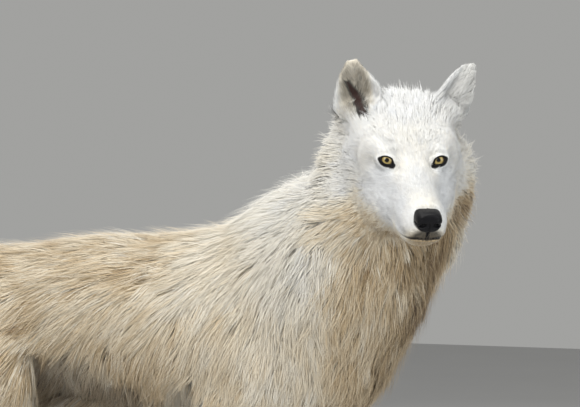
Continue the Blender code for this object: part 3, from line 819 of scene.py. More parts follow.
BODY_GUIDES = (
    Guide("neck_top", M, (0.315, 0.0, 0.86), (-0.75, 0.0, -0.65), 0.0742, 0.019, 0.08, 0.14),
    Guide("neck_top_rear", M, (0.245, 0.0, 0.8), (-0.9, 0.0, -0.4), 0.0717, 0.017, 0.12, 0.2),
    Guide("neck_side_high", M, (0.32, 0.135, 0.79), (-0.55, 0.0, -0.8), 0.0614, 0.019, 0.14, 0.16),
    Guide("neck_side", M, (0.31, 0.15, 0.69), (-0.35, 0.0, -0.95), 0.0614, 0.019, 0.2, 0.2),
    Guide("neck_side_low", M, (0.3, 0.135, 0.59), (-0.2, 0.0, -1.0), 0.0574, 0.017, 0.3, 0.24),
    Guide("mane_side", M, (0.42, 0.11, 0.7), (-0.25, 0.0, -1.0), 0.0635, 0.02, 0.46, 0.36),
    Guide("mane_edge", M, (0.352, 0.14, 0.728), (-0.3, 0.0, -0.97), 0.0624, 0.0195, 0.13, 0.24),
    # far_ruff: painted shade on the side of the ruff away from the light; it holds for that side only
    Guide("far_ruff", R, (0.539, -0.05, 0.79), (-0.17, 0.9, -0.4), 0.055, 0.016, 0.8, 0.44),
    Guide("mane_side_low", M, (0.39, 0.1, 0.6), (-0.15, 0.0, -1.0), 0.0614, 0.019, 0.48, 0.28),
    # mane_front_high to breast: dark tan, partly the mane's own tan, partly painted shade under the head
    Guide("mane_front_high", M, (0.5, -0.04, 0.745), (-0.2, 0.0, -1.0), 0.0594, 0.018, 0.82, 0.4),
    Guide("mane_front", M, (0.47, 0.0, 0.66), (-0.15, 0.0, -1.0), 0.0635, 0.02, 0.8, 0.4),
    Guide("mane_low", M, (0.43, 0.0, 0.57), (-0.15, 0.0, -1.0), 0.0614, 0.019, 0.6, 0.36),
    Guide("breast", M, (0.385, 0.0, 0.49), (-0.35, 0.0, -0.95), 0.0533, 0.016, 0.58, 0.32),
    Guide("withers", B, (0.17, 0.0, 0.778), (-1.0, 0.0, -0.1), 0.0724, 0.015, 0.26, 0.34),
    Guide("back_fore", B, (0.105, 0.0, 0.762), (-1.0, 0.0, -0.06), 0.069, 0.0145, 0.4, 0.42),
    Guide("back", B, (0.03, 0.0, 0.745), (-1.0, 0.0, -0.04), 0.067, 0.014, 0.42, 0.5),
    Guide("loin", B, (-0.15, 0.0, 0.732), (-1.0, 0.0, -0.04), 0.067, 0.014, 0.42, 0.52),
    Guide("croup", B, (-0.32, 0.0, 0.718), (-1.0, 0.0, -0.15), 0.067, 0.014, 0.38, 0.46),
    Guide("rump", B, (-0.425, 0.0, 0.695), (-0.8, 0.0, -0.6), 0.0724, 0.015, 0.2, 0.3),
    Guide("shoulder_top", B, (0.19, 0.11, 0.725), (-0.78, 0.0, -0.6), 0.067, 0.014, 0.28, 0.28),
    Guide("shoulder", B, (0.21, 0.14, 0.62), (-0.38, 0.0, -0.93), 0.067, 0.014, 0.33, 0.24),
    Guide("upper_arm", B, (0.19, 0.13, 0.52), (-0.25, 0.0, -1.0), 0.0563, 0.0115, 0.4, 0.26),
    Guide("rib_top", B, (0.04, 0.1, 0.71), (-0.92, 0.0, -0.35), 0.067, 0.014, 0.42, 0.5),
    Guide("rib", B, (0.04, 0.135, 0.63), (-0.74, 0.0, -0.68), 0.0697, 0.0145, 0.38, 0.42),
    Guide("rib_low", B, (0.05, 0.12, 0.53), (-0.45, 0.0, -0.95), 0.0697, 0.0145, 0.52, 0.42),
    Guide("belly_edge", F, (0.02, 0.095, 0.512), (-0.4, 0.0, -0.95), 0.105, 0.0145, 0.56, 0.46),
    Guide("belly_edge_fore", F, (0.13, 0.1, 0.49), (-0.35, 0.0, -0.95), 0.085, 0.013, 0.34, 0.4),
    Guide("flank_top", B, (-0.13, 0.085, 0.7), (-0.94, 0.0, -0.32), 0.0697, 0.014, 0.44, 0.5),
    Guide("flank", B, (-0.13, 0.115, 0.62), (-0.8, 0.0, -0.6), 0.0724, 0.0145, 0.5, 0.5),
    # flank_low and belly: darker tones, partly the real tan of the underside and partly painted shade under
    # the belly
    Guide("flank_low", F, (-0.12, 0.105, 0.54), (-0.5, 0.0, -0.88), 0.108, 0.0145, 0.48, 0.5),
    Guide("belly", F, (-0.06, 0.05, 0.492), (-0.35, 0.05, -0.95), 0.132, 0.0165, 0.48, 0.5),
    Guide("belly_front", F, (0.08, 0.05, 0.455), (-0.35, 0.05, -0.95), 0.104, 0.012, 0.5, 0.42),
    Guide("sternum", F, (0.22, 0.0, 0.425), (-0.4, 0.0, -0.9), 0.0456, 0.011, 0.36, 0.36),
    Guide("groin", B, (-0.2, 0.02, 0.5), (-0.5, 0.0, -0.85), 0.0429, 0.009, 0.35, 0.35),
    Guide("haunch_top", B, (-0.3, 0.095, 0.69), (-0.92, 0.0, -0.42), 0.067, 0.0135, 0.36, 0.46),
    Guide("haunch", B, (-0.31, 0.115, 0.6), (-0.65, 0.0, -0.75), 0.0643, 0.0125, 0.42, 0.46),
    Guide("thigh", L, (-0.29, 0.12, 0.5), (-0.45, 0.0, -0.9), 0.038, 0.01, 0.34, 0.4),
    Guide("thigh_rear", B, (-0.41, 0.08, 0.54), (-0.5, 0.0, -0.85), 0.0724, 0.014, 0.22, 0.28),
    Guide("forearm", L, (0.19, 0.085, 0.38), (-0.1, 0.0, -1.0), 0.024, 0.006, 0.2, 0.24),
    Guide("fore_shin", L, (0.205, 0.078, 0.26), (-0.05, 0.0, -1.0), 0.017, 0.0045, 0.14, 0.16),
    Guide("wrist", L, (0.21, 0.078, 0.16), (0.0, 0.0, -1.0), 0.014, 0.004, 0.1, 0.12),
    Guide("fore_pastern", P, (0.235, 0.078, 0.085), (0.3, 0.0, -1.0), 0.011, 0.0032, 0.08, 0.1),
    Guide("fore_toes", P, (0.285, 0.078, 0.035), (0.8, 0.0, -0.5), 0.008, 0.002, 0.08, 0.1),
    Guide("knee", L, (-0.215, 0.09, 0.42), (-0.35, 0.0, -0.95), 0.03, 0.008, 0.28, 0.32),
    Guide("gaskin", L, (-0.315, 0.085, 0.33), (-0.6, 0.0, -0.8), 0.022, 0.006, 0.22, 0.26),
    Guide("hock", L, (-0.425, 0.082, 0.22), (-0.25, 0.0, -1.0), 0.016, 0.0045, 0.14, 0.16),
    Guide("hind_shin", L, (-0.415, 0.082, 0.14), (0.15, 0.0, -1.0), 0.014, 0.004, 0.12, 0.12),
    Guide("hind_pastern", P, (-0.39, 0.082, 0.08), (0.5, 0.0, -0.9), 0.011, 0.0032, 0.1, 0.1),
    Guide("hind_toes", P, (-0.335, 0.082, 0.035), (0.8, 0.0, -0.5), 0.008, 0.002, 0.08, 0.1),
    Guide("tail_root", T, (-0.455, 0.0, 0.655), (-0.75, 0.0, -0.7), 0.0616, 0.016, 0.22, 0.32),
    Guide("tail_upper", T, (-0.498, 0.0, 0.575), (-0.4, 0.0, -0.95), 0.0704, 0.021, 0.32, 0.42),
    Guide("tail_middle", T, (-0.525, 0.0, 0.48), (-0.15, 0.0, -1.0), 0.077, 0.023, 0.38, 0.45),
    Guide("tail_lower", T, (-0.534, 0.0, 0.39), (0.0, 0.0, -1.0), 0.077, 0.022, 0.3, 0.4),
    Guide("tail_tip", T, (-0.53, 0.0, 0.31), (0.05, 0.0, -1.0), 0.0616, 0.013, 0.16, 0.25),
)


@dataclass(frozen=True)
class EarCoat:
    """How the hair of one ear lies, and what sets the inside of the ear apart."""

    fluff_from: float  # height at which the long hairs of the inside begin
    fluff_full: float
    fluff: float
    longer: float
    rise: float
    forward: float
    outward: float
    # how much darker the inside is: partly the greyer hair inside, partly painted shade of the hollow
    shade: float
    streak: float
    length: float = 0.0085
    depth: float = 0.0017
    tone: float = 0.03


# The right ear's inside is the darker: painted shade in its hollow, as well as greyer hair
EAR_COATS = {
    Side.LEFT: EarCoat(0.100, 0.055, 0.60, 0.014, 0.0075, 0.30, 0.20, 0.03, 0.0),
    Side.RIGHT: EarCoat(0.075, 0.040, 0.35, 0.009, 0.0040, 0.15, 0.35, 0.22, 0.16),
}

# Grey marks of the face, the one at the chin partly painted shade: centre, radii and strength; each is
# mirrored
SMUDGES = (
    ((0.226, 0.026, -0.016), (0.011, 0.008, 0.005), 0.4),
    ((0.113, 0.025, 0.059), (0.01, 0.007, 0.0045), 0.26),
    ((0.104, 0.034, 0.067), (0.012, 0.012, 0.006), 0.14),
    ((0.134, 0.021, 0.04), (0.006, 0.005, 0.004), 0.24),
    ((0.093, 0.008, 0.073), (0.01, 0.006, 0.008), 0.12),
    ((0.231, 0.008, 0.022), (0.005, 0.014, 0.004), 0.34),
    # grey at the chin: partly greyer hair, partly painted shade under the mouth
    ((0.24, 0.000, -0.03), (0.012, 0.018, 0.006), 0.16),
    ((0.195, 0.000, 0.032), (0.045, 0.034, 0.022), 0.14),
)

FLESH = (
    "head",
    "lower_jaw",
    "neck",
    "trunk",
    "tail",
    *(f"{end}_leg_{side.label}" for end in ("front", "rear") for side in Side),
    *(f"paw_{end}_{side.label}" for end in ("front", "rear") for side in Side),
    *(f"ear_{side.label}" for side in Side),
)


class Lie(IntEnum):
    """Columns of the table of how the coat lies."""

    LENGTH = 3
    DEPTH = 4
    TONE = 5
    STREAK = 6
    SPACING = 7
    WIDTH = 8
    LOCK = 9
    CLUMP = 10
    HANG = 11
    LIFT = 12


@dataclass
class Groom:
    """Spreads the named places over any points of the body."""

    marks: Landmarks
    reach: float = 0.012  # within this distance of a place its own values hold
    fall: float = 2.6  # how fast a place's pull falls off
    fall_away: float = 0.45  # how much of its fall hanging hair keeps below the body
    at_once: int = 20000  # points handled in one step
    front_faces: Triple = (0.50, -0.86, 0.10)  # the left ear's front, in the ear's frame
    front_even: float = 0.85
    snout_grey: float = 0.86
    # painted shade in the hollow of the right ear, and in its canal
    hollow_shade: float = 0.60
    canal_shade: float = 0.94
    canal_half: float = 0.0054
    places: Rows = field(init=False)
    values: Rows = field(init=False)

    def __post_init__(self) -> None:
        """Lays out the table, with each head place off the middle, and each body place on the left, on both
        sides.
        """
        places, values = [], []
        for zone, guides in ((Zone.HEAD, HEAD_GUIDES), (Zone.BODY, BODY_GUIDES)):
            to_model = self.marks.frame_of(zone)
            for guide in guides:
                hair = guide.kind.value
                signs = (1, -1) if zone is Zone.HEAD or guide.place[1] > 0 else (1,)
                for sign in signs:
                    mirror = Vector((1, sign, 1))
                    places.append(to_model @ (Vector(guide.place) * mirror))
                    flow = to_model.to_3x3() @ (Vector(guide.flow) * mirror)
                    values.append(
                        (*flow.normalized(), guide.length, guide.depth, guide.tone, guide.streak)
                        + (hair.spacing, hair.width, hair.lock, hair.clump, hair.hang)
                        + (guide.depth * hair.rise,)
                    )
        self.places = np.array(places)
        self.values = np.array(values)

    def at(self, points: Rows, normals: Rows) -> Rows:
        """How the coat lies at points of the skin.

        Args:
            points: Rows of coordinates.
            normals: The skin's normals there.

        Returns:
            One row for each point: the flow along the skin, then the columns of Lie.
        """
        found = np.empty((len(points), self.values.shape[1]))
        for start in range(0, len(points), self.at_once):
            part = slice(start, start + self.at_once)
            gap = ((points[part, None, :] - self.places[None]) ** 2).sum(-1)
            pull = (gap + self.reach**2) ** -self.fall
            found[part] = pull @ self.values / pull.sum(1, keepdims=True)
        for side in Side:
            self.comb_ear(side, points, normals, found)
        found[:, :3] = self.laid(found, normals)
        return found

    def laid(self, rows: Rows, normals: Rows) -> Rows:
        """The flow along the skin; hair that hangs from below the body falls away from it a little.

        Args:
            rows: The flow and the columns of Lie.
            normals: The skin's normals there.

        Returns:
            Unit rows.
        """
        flow = rows[:, :3]
        into = (flow * normals).sum(1)
        falls = self.fall_away * rows[:, Lie.HANG] * smooth_ramp(-normals[:, 2], 0.0, 0.5)
        kept = np.clip(into, 0.0, None) * falls
        return unit(flow + (kept - into)[:, None] * normals)

    def comb_ear(self, side: Side, points: Rows, normals: Rows, found: Rows) -> None:
        """Writes the ear's own coat over the rows that lie on it.

        Args:
            side: Which ear.
            points: Rows of coordinates.
            normals: The skin's normals there.
            found: The table, changed in place.
        """
        coat, hair = EAR_COATS[side], Kind.VELVET.value
        local, facing = self.marks.in_ear(side, points, normals)
        share = smooth_ramp(local[:, 2], 0.006, 0.022) * self.marks.on_ear(local)
        inside = smooth_ramp(facing, -0.1, 0.5)
        edge = smooth_ramp(np.abs(local[:, 1]), 0.016, 0.028)
        fluff = inside * smooth_ramp(local[:, 2], coat.fluff_from, coat.fluff_full) * coat.fluff
        outward = np.sign(local[:, 1]) * inside * coat.outward
        flow = np.stack([coat.forward * inside, outward, np.ones(len(points))], 1)
        rows = np.empty_like(found)
        rows[:, :3] = unit(turned(self.marks.ear(side), flow))
        for column, value in (
            (Lie.LENGTH, coat.length + 0.001 * inside + coat.longer * fluff),
            (Lie.DEPTH, coat.depth),
            # darker inside the ear: greyer hair, and painted shade of the hollow
            (Lie.TONE, coat.tone + coat.shade * inside * (1.0 - edge)),
            (Lie.STREAK, 0.06 + coat.streak * inside),
            (Lie.SPACING, hair.spacing),
            (Lie.WIDTH, hair.width),
            (Lie.LOCK, hair.lock),
            (Lie.CLUMP, hair.clump),
            (Lie.HANG, 0.5 * fluff),
            (Lie.LIFT, coat.depth + coat.rise * fluff),
        ):
            rows[:, column] = value
        found += share[:, None] * (rows - found)

    def ear_front(self, points: Rows, normals: Rows) -> tuple[Rows, Rows]:
        """Finds the front of the left ear, which is shaded as one even face.

        Args:
            points: Rows of coordinates.
            normals: The skin's normals there.

        Returns:
            The share of each point that belongs to it, and the way it faces.
        """
        local, facing = self.marks.in_ear(Side.LEFT, points, normals)
        matrix = self.marks.ear(Side.LEFT)
        front = np.array((matrix.to_3x3() @ Vector(self.front_faces)).normalized())
        share = self.front_even * self.marks.on_ear(local) * smooth_ramp(facing, -0.3, 0.2)
        share = share * smooth_ramp(local[:, 2], 0.004, 0.020)
        return share * smooth_ramp(normals @ front, -0.3, 0.2), front

    def grey_and_shade(self, points: Rows, normals: Rows) -> Rows:
        """How grey the hair is at points of the skin: grey brow marks and upper lip, and painted shade in
        the hollow and the canal of the right ear.

        Args:
            points: Rows of coordinates.
            normals: The skin's normals there.

        Returns:
            Shares from 0 to 1.
        """
        local = self.marks.in_head(points)
        flat = np.stack([local[:, 0], np.abs(local[:, 1]), local[:, 2]], 1)
        share = np.zeros(len(points))
        for centre, radii, strength in SMUDGES:
            share = np.maximum(share, strength * np.exp(-(((flat - centre) / radii) ** 2).sum(1)))
        over_lip = local[:, 2] - lip_height(local[:, 0])
        snout = smooth_ramp(over_lip, 0.0165, 0.0120) * smooth_ramp(over_lip, -0.0035, -0.0005)
        muzzle_end = smooth_ramp(local[:, 0], 0.214, 0.228)
        snout *= smooth_ramp(flat[:, 1] + 0.9 * over_lip, 0.0340, 0.0190) * muzzle_end
        share = np.maximum(share, self.snout_grey * snout)
        # painted shade in the hollow of the right ear
        ear, facing = self.marks.in_ear(Side.RIGHT, points, normals)
        hollow = smooth_ramp(facing, 0.0, 0.5) * smooth_ramp(np.abs(ear[:, 1]), 0.027, 0.014)
        hollow *= smooth_ramp(ear[:, 2], 0.104, 0.070) * smooth_ramp(ear[:, 2], 0.004, 0.020)
        share = np.maximum(share, self.hollow_shade * hollow * (np.abs(ear[:, 0]) < 0.045))
        # painted shade in the canal of the right ear
        return np.maximum(share, self.canal_shade * self.canal(points, normals, 0.0030))

    def canal(self, points: Rows, normals: Rows, wider: float = 0.0) -> Rows:
        """How far each point lies in the slanting opening of the right ear, which is painted dark as its
        shade.

        Args:
            points: Rows of coordinates.
            normals: The skin's normals there.
            wider: How much to add to the opening's half width.

        Returns:
            Shares from 0 to 1.
        """
        local, facing = self.marks.in_ear(Side.RIGHT, points, normals)
        height = (local[:, 2] - 0.012) / 0.040
        middle = 0.011 - 0.018 * np.clip(height, -0.3, 1.4)
        reach = self.canal_half * smooth_ramp(height, 1.35, 0.6) * smooth_ramp(height, -0.20, 0.10)
        half = reach + wider
        inner = smooth_ramp(np.abs(local[:, 1] - middle), half + 0.0022, half - 0.0010)
        near = (np.abs(local[:, 0]) < 0.045) & (np.abs(local[:, 1]) < 0.045) & (reach > 0.0005)
        return near * inner * smooth_ramp(facing, -0.6, -0.2)


# The eye's place and opening


def outwards(ring: Rows) -> Rows:
    """Directions out of a closed ring, square to it.

    Args:
        ring: Rows of x and y.

    Returns:
        One unit row for each point.
    """
    ahead = np.roll(ring, -1, 0) - np.roll(ring, 1, 0)
    return unit(np.stack([ahead[:, 1], -ahead[:, 0]], 1))


@dataclass(frozen=True)
class EyeSeat:
    """One eye's frame and the almond of its lids: x outwards, y up, z out of the head."""

    side: Side
    marks: Landmarks
    radius: float = 0.0128
    outer: float = 0.0098
    inner: float = 0.0104
    upper: float = 0.0042
    lower: float = 0.0060
    tear_drop: float = 0.0044
    crown: float = 0.0092  # how far from its middle the lids follow the ball
    slope: float = -0.75  # their fall beyond it
    axes: tuple[Triple, Triple] = ((0.88, 0.09, 0.37), (0.88, -0.17, 0.37))
    slit: Triple = (-0.30, 1.0, 0.26)
    steps: int = 72  # points round the opening

    @property
    def matrix(self) -> Matrix:
        """The eye's frame.

        Returns:
            Its place and turn in the model.
        """
        sign = self.side.value
        turn = self.marks.head.to_3x3()
        out = (turn @ Vector(self.axes[0 if self.side is Side.LEFT else 1])).normalized()
        along = turn @ Vector((self.slit[0], sign * self.slit[1], self.slit[2]))
        along = (along - along.dot(out) * out).normalized()
        up = out.cross(along) * sign
        table = Matrix((along, up, out)).transposed().to_4x4()
        return Matrix.Translation(centre_of(f"eye_{self.side.label}")) @ table

    def rim(self, count: int, spread: float = 0.0) -> Rows:
        """Points round the almond, from the outer corner over the top.

        Args:
            count: How many points.
            spread: How far outside the almond they lie.

        Returns:
            Rows of x and y in the eye's plane.
        """
        angle = np.linspace(0.0, 2.0 * np.pi, count, endpoint=False)
        x = np.where(np.cos(angle) > 0, self.outer, self.inner) * np.cos(angle)
        height = np.where(np.sin(angle) > 0, self.upper, self.lower)
        sharp = 1.15 + 0.75 * smooth_ramp(np.cos(angle), 0.0, 0.9)
        y = height * np.sign(np.sin(angle)) * np.abs(np.sin(angle)) ** sharp
        inward = np.clip(-np.cos(angle) - 0.55, 0.0, 1.0) / 0.45
        y = y - self.tear_drop * inward**1.5
        ring = np.stack([x, y], 1)
        return ring + spread * outwards(ring) if spread else ring

    def dome(self, flat: Rows) -> Rows:
        """The height of the lids' surface, which follows the ball and then falls off.

        Args:
            flat: Rows of x and y in the eye's plane.

        Returns:
            Heights over that plane.
        """
        across = np.hypot(flat[:, 0], flat[:, 1])
        near = np.minimum(across, self.crown)
        return np.sqrt(self.radius**2 - near**2) + self.slope * (across - near)

    def outside(self, flat: Rows) -> Rows:
        """How far points of the eye's plane lie outside the almond.

        Args:
            flat: Rows of x and y.

        Returns:
            Metres, negative inside the opening.
        """
        ring = self.rim(self.steps)
        gap = np.linalg.norm(flat[:, None, :] - ring[None], axis=-1)
        nearest = gap.argmin(1)
        side = ((flat - ring[nearest]) * outwards(ring)[nearest]).sum(1)
        return np.where(side >= 0, gap.min(1), -gap.min(1))


# The skin


@dataclass
class Skin:
    """The one hide of the whole wolf, under the coat, with its lids, lips and folds."""

    marks: Landmarks
    groom: Groom
    overlap: float = 0.0006  # how far each solid is swollen so that neighbours fuse
    voxel: float = 0.0030
    body_faces: float = 0.30  # share of faces kept away from the head
    face_middle: Triple = (0.14, 0.0, 0.01)
    ear_middle: Triple = (-0.01, 0.0, 0.05)
    mouth_middle: Triple = (0.215, 0.0, -0.018)
    pad_middle: Triple = (0.2365, 0.0, 0.0042)
    pad_reach: Triple = (0.017, 0.019, 0.0150)
    sole_height: tuple[float, float] = (0.0085, 0.0050)
    piece: Piece | None = None
    lie: Rows | None = None

    def fused(self) -> Piece:
        """Joins the flesh solids, the eyes and the nose.

        Returns:
            One closed mesh on a fine grid.
        """
        bm = bmesh.new()
        for node in (*FLESH, "nose", *(f"eye_{side.label}" for side in Side)):
            part = bmesh.new()
            part.from_mesh(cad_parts[node].data)
            bmesh.ops.remove_doubles(part, verts=part.verts[:], dist=0.00002)
            part.normal_update()
            for vertex in part.verts:
                vertex.co += self.overlap * vertex.normal
            mesh = bpy.data.meshes.new(node)
            part.to_mesh(mesh)
            part.free()
            bm.from_mesh(mesh)
            bpy.data.meshes.remove(mesh)
        piece = from_bmesh("skin", bm)
        grid = piece.modifiers.new("grid", "REMESH")
        grid.mode = "VOXEL"
        grid.voxel_size = self.voxel
        return applied(piece)

    def soften(self, piece: Piece, passes: int, weights: Rows | None = None) -> None:
        """Smooths the mesh.

        Args:
            piece: The skin.
            passes: How many times.
            weights: How much of it each vertex takes.
        """
        smooth = piece.modifiers.new("soften", "SMOOTH")
        smooth.factor = 0.5
        smooth.iterations = passes
        if weights is not None:
            smooth.vertex_group = self.weigh(piece, weights)
        applied(piece)
        piece.vertex_groups.clear()

    def weigh(self, piece: Piece, weights: Rows) -> str:
        """Puts weights on the skin in ten steps.

        Args:
            piece: The skin.
            weights: A share for each vertex.

        Returns:
            The name of the vertex group that holds them.
        """
        group = piece.vertex_groups.new(name="weights")
        for level in range(1, 11):
            chosen = np.nonzero(np.round(weights * 10).astype(int) == level)[0]
            group.add(chosen.tolist(), level / 10, "REPLACE")
        return group.name

    def away_from_detail(self, points: Rows) -> Rows:
        """Tells the plain body from the face, the ears and the feet.

        Args:
            points: Rows of coordinates.

        Returns:
            For each point 1 on the body, falling to 0 near those.
        """
        local = self.marks.in_head(points)
        face = np.linalg.norm(local - np.array(self.face_middle), axis=1)
        share = smooth_ramp(face, 0.10, 0.17) * smooth_ramp(points[:, 2], 0.09, 0.20)
        for side in Side:
            ear = placed(self.marks.ear(side).inverted(), points)
            gap = np.linalg.norm((ear - np.array(self.ear_middle)) / np.array((1.0, 1.0, 1.5)), axis=1)
            share *= smooth_ramp(gap, 0.045, 0.07)
        return share

    def sink(self, piece: Piece) -> None:
        """Moves the skin in from the tips of the coat to the coat's root.

        Args:
            piece: The skin.
        """
        points, normals = mesh_points(piece.data), mesh_normals(piece.data)
        depth = self.groom.at(points, normals)[:, Lie.DEPTH]
        set_points(piece.data, points - normals * (depth + self.overlap)[:, None])

    def lighten(self, piece: Piece) -> None:
        """Drops faces where the form is plain, and adds some round eyes, nose and lips.

        Args:
            piece: The skin.
        """
        weights = self.away_from_detail(mesh_points(piece.data))
        thin = piece.modifiers.new("thin", "DECIMATE")
        thin.ratio = self.body_faces
        thin.vertex_group = self.weigh(piece, weights)
        applied(piece)
        piece.vertex_groups.clear()
        bm = bmesh.new()
        bm.from_mesh(piece.data)
        eyes = [centre_of(f"eye_{side.label}") for side in Side]
        mouth = self.marks.head @ Vector(self.mouth_middle)
        for spots, radius in ((eyes, 0.030), (eyes, 0.021), ([mouth], 0.048)):
            edges = [e for e in bm.edges if any((e.verts[0].co - spot).length < radius for spot in spots)]
            bmesh.ops.subdivide_edges(bm, edges=edges, cuts=1, smooth=0.6)
        bmesh.ops.triangulate(bm, faces=[f for f in bm.faces if len(f.verts) > 4])
        bm.to_mesh(piece.data)
        bm.free()

    def mould_head(self, points: Rows) -> Rows:
        """Raises and sinks the forms of the face.

        Args:
            points: The skin's points.

        Returns:
            The moved points.
        """
        local = self.marks.in_head(points)
        y = np.abs(local[:, 1])
        sign = np.sign(local[:, 1])
        for centre, radii, push in FACE_MOULDS:
            offset = (np.stack([local[:, 0], y, local[:, 2]], 1) - np.array(centre)) / np.array(radii)
            share = np.exp(-(offset**2).sum(1))[:, None]
            move = np.array(push) * share
            move[:, 1] *= sign
            local = local + move
        points = placed(self.marks.head, local)
        for side, centre, radii, push in EAR_MOULDS:
            matrix = self.marks.ear(side)
            local = placed(matrix.inverted(), points)
            offset = (local - np.array(centre)) / np.array(radii)
            near = (local[:, 2] > 0.0) & (np.abs(local[:, 0]) < 0.05) & (np.abs(local[:, 1]) < 0.06)
            local += np.array(push) * (np.exp(-(offset**2).sum(1)) * near)[:, None]
            points = placed(matrix, local)
        return points

    def seat_eye(self, seat: EyeSeat, points: Rows) -> Rows:
        """Draws the skin round one eyeball as lids, and in behind it within the opening.

        Args:
            seat: The eye's place.
            points: The skin's points.

        Returns:
            The moved points.
        """
        local = placed(seat.matrix.inverted(), points)
        spread = np.linalg.norm(local, axis=1)
        near = np.nonzero((spread < 0.034) & (local[:, 2] > -0.004))[0]
        part = local[near]
        outside = seat.outside(part[:, :2])
        upper = smooth_ramp(part[:, 1], -0.002, 0.006)
        thick = (0.0008 + 0.0006 * upper) * smooth_ramp(outside, 0.0020, 0.0055)
        lid = seat.dome(part[:, :2]) + 0.0006 + thick
        within = smooth_ramp(outside, -0.0002, -0.0018)
        hold = smooth_ramp(outside, 0.0110, 0.0045)
        wanted = part[:, 2] + hold * (lid - part[:, 2])
        local[near, 2] = wanted - within * 0.0045
        return placed(seat.matrix, local)

    def part_lips(self, points: Rows) -> Rows:
        """Sinks the line of the closed mouth and the cleft under the nose.

        Args:
            points: The skin's points.

        Returns:
            The moved points.
        """
        local = self.marks.in_head(points)
        line = local[:, 2] - lip_height(local[:, 0])
        forward = smooth_ramp(local[:, 0], 0.146, 0.162)
        groove = np.exp(-((line / 0.0016) ** 2)) * forward
        droop = np.exp(-(((line - 0.0050) / 0.0045) ** 2)) * forward
        droop *= smooth_ramp(local[:, 0], 0.24, 0.20)
        inward = -np.sign(local[:, 1]) * smooth_ramp(np.abs(local[:, 1]), 0.0, 0.012)
        local[:, 1] += inward * (0.0026 * groove - 0.0016 * droop)
        local[:, 0] -= 0.0028 * groove * smooth_ramp(local[:, 0], 0.225, 0.240)
        cleft = np.exp(-((local[:, 1] / 0.0014) ** 2)) * smooth_ramp(local[:, 0], 0.222, 0.232)
        cleft *= smooth_ramp(line, -0.001, 0.002)
        local[:, 0] -= 0.0020 * cleft
        return placed(self.marks.head, local)

    def bare_share(self, points: Rows) -> Rows:
        """How bare and dark the hide is: lids, lips, muzzle end and soles.

        Args:
            points: Rows of coordinates.

        Returns:
            A share for each point.
        """
        local = self.marks.in_head(points)
        line = np.abs(local[:, 2] - lip_height(local[:, 0]))
        lips = smooth_ramp(line, 0.0025, 0.0012) * smooth_ramp(local[:, 0], 0.146, 0.158)
        lips *= 0.45 + 0.40 * smooth_ramp(local[:, 0], 0.206, 0.224)
        under = smooth_ramp(np.abs(local[:, 1]), 0.0034, 0.0018) * smooth_ramp(local[:, 0], 0.222, 0.230)
        under *= smooth_ramp(local[:, 2], -0.027, -0.022) * smooth_ramp(local[:, 2], 0.004, -0.002)
        pad = np.linalg.norm((local - np.array(self.pad_middle)) / np.array(self.pad_reach), axis=1)
        bare = np.maximum(np.maximum(lips, under), smooth_ramp(pad, 1.08, 1.02))
        for side in Side:
            seat = EyeSeat(side, self.marks)
            eye = placed(seat.matrix.inverted(), points)
            near = np.nonzero(np.linalg.norm(eye, axis=1) < 0.030)[0]
            outside = seat.outside(eye[near, :2])
            below = smooth_ramp(eye[near, 1], 0.0030, -0.0035)
            rim = smooth_ramp(outside - 0.0026 * below, 0.0024, 0.0010)
            bare[near] = np.maximum(bare[near], rim * (eye[near, 2] > -0.002))
        return np.maximum(bare, smooth_ramp(points[:, 2], *self.sole_height))

    def build(self) -> Piece:
        """Makes the skin.

        Returns:
            The finished piece.
        """
        piece = self.fused()
        away = self.away_from_detail(mesh_points(piece.data))
        self.soften(piece, 3)
        self.soften(piece, 24, away)
        self.sink(piece)
        self.soften(piece, 10, away)
        self.soften(piece, 3)
        self.lighten(piece)
        points = self.mould_head(mesh_points(piece.data))
        for side in Side:
            points = self.seat_eye(EyeSeat(side, self.marks), points)
        points = self.part_lips(points)
        set_points(piece.data, points)
        normals = mesh_normals(piece.data)
        self.lie = self.groom.at(points, normals)
        tone = self.lie[:, Lie.TONE]
        # painted light: the hide is paler under long hair, to lift the shade in the gaps between the locks
        tone = tone * (1.0 - 0.5 * smooth_ramp(self.lie[:, Lie.LENGTH], 0.020, 0.050))
        set_attribute(piece.data, "tone", tone + 0.05 * self.lie[:, Lie.STREAK])
        set_attribute(piece.data, "bare", self.bare_share(points))
        # grey marks, and painted shade in the right ear's hollow and canal
        set_attribute(piece.data, "grey_and_shade", self.groom.grey_and_shade(points, normals))
        # painted shade of the right ear's opening
        set_attribute(piece.data, "canal", self.groom.canal(points, normals))
        piece.data.shade_smooth()
        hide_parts(*FLESH)
        finish_piece(piece, hide_material(CoatFinish()))
        self.piece = piece
        return piece


# Forms of the face: centre, reach and push; each is mirrored
FACE_MOULDS = (
    ((0.122, 0.026, 0.05), (0.016, 0.01, 0.016), (-0.002, -0.002, -0.0022)),
    ((0.096, 0.04, 0.07), (0.022, 0.02, 0.014), (0.0012, 0.0005, 0.001)),
    ((0.1, 0.0, 0.08), (0.03, 0.006, 0.018), (-0.001, 0.0, -0.0018)),
    ((0.15, 0.038, 0.016), (0.022, 0.012, 0.016), (0.0, -0.0022, -0.001)),
    ((0.205, 0.03, -0.004), (0.024, 0.014, 0.014), (0.0, 0.0018, 0.0)),
    ((0.104, 0.062, 0.026), (0.018, 0.014, 0.01), (0.001, 0.002, 0.0012)),
    ((0.242, 0.0, -0.046), (0.025, 0.031, 0.015), (-0.003, 0.0, 0.0125)),
)

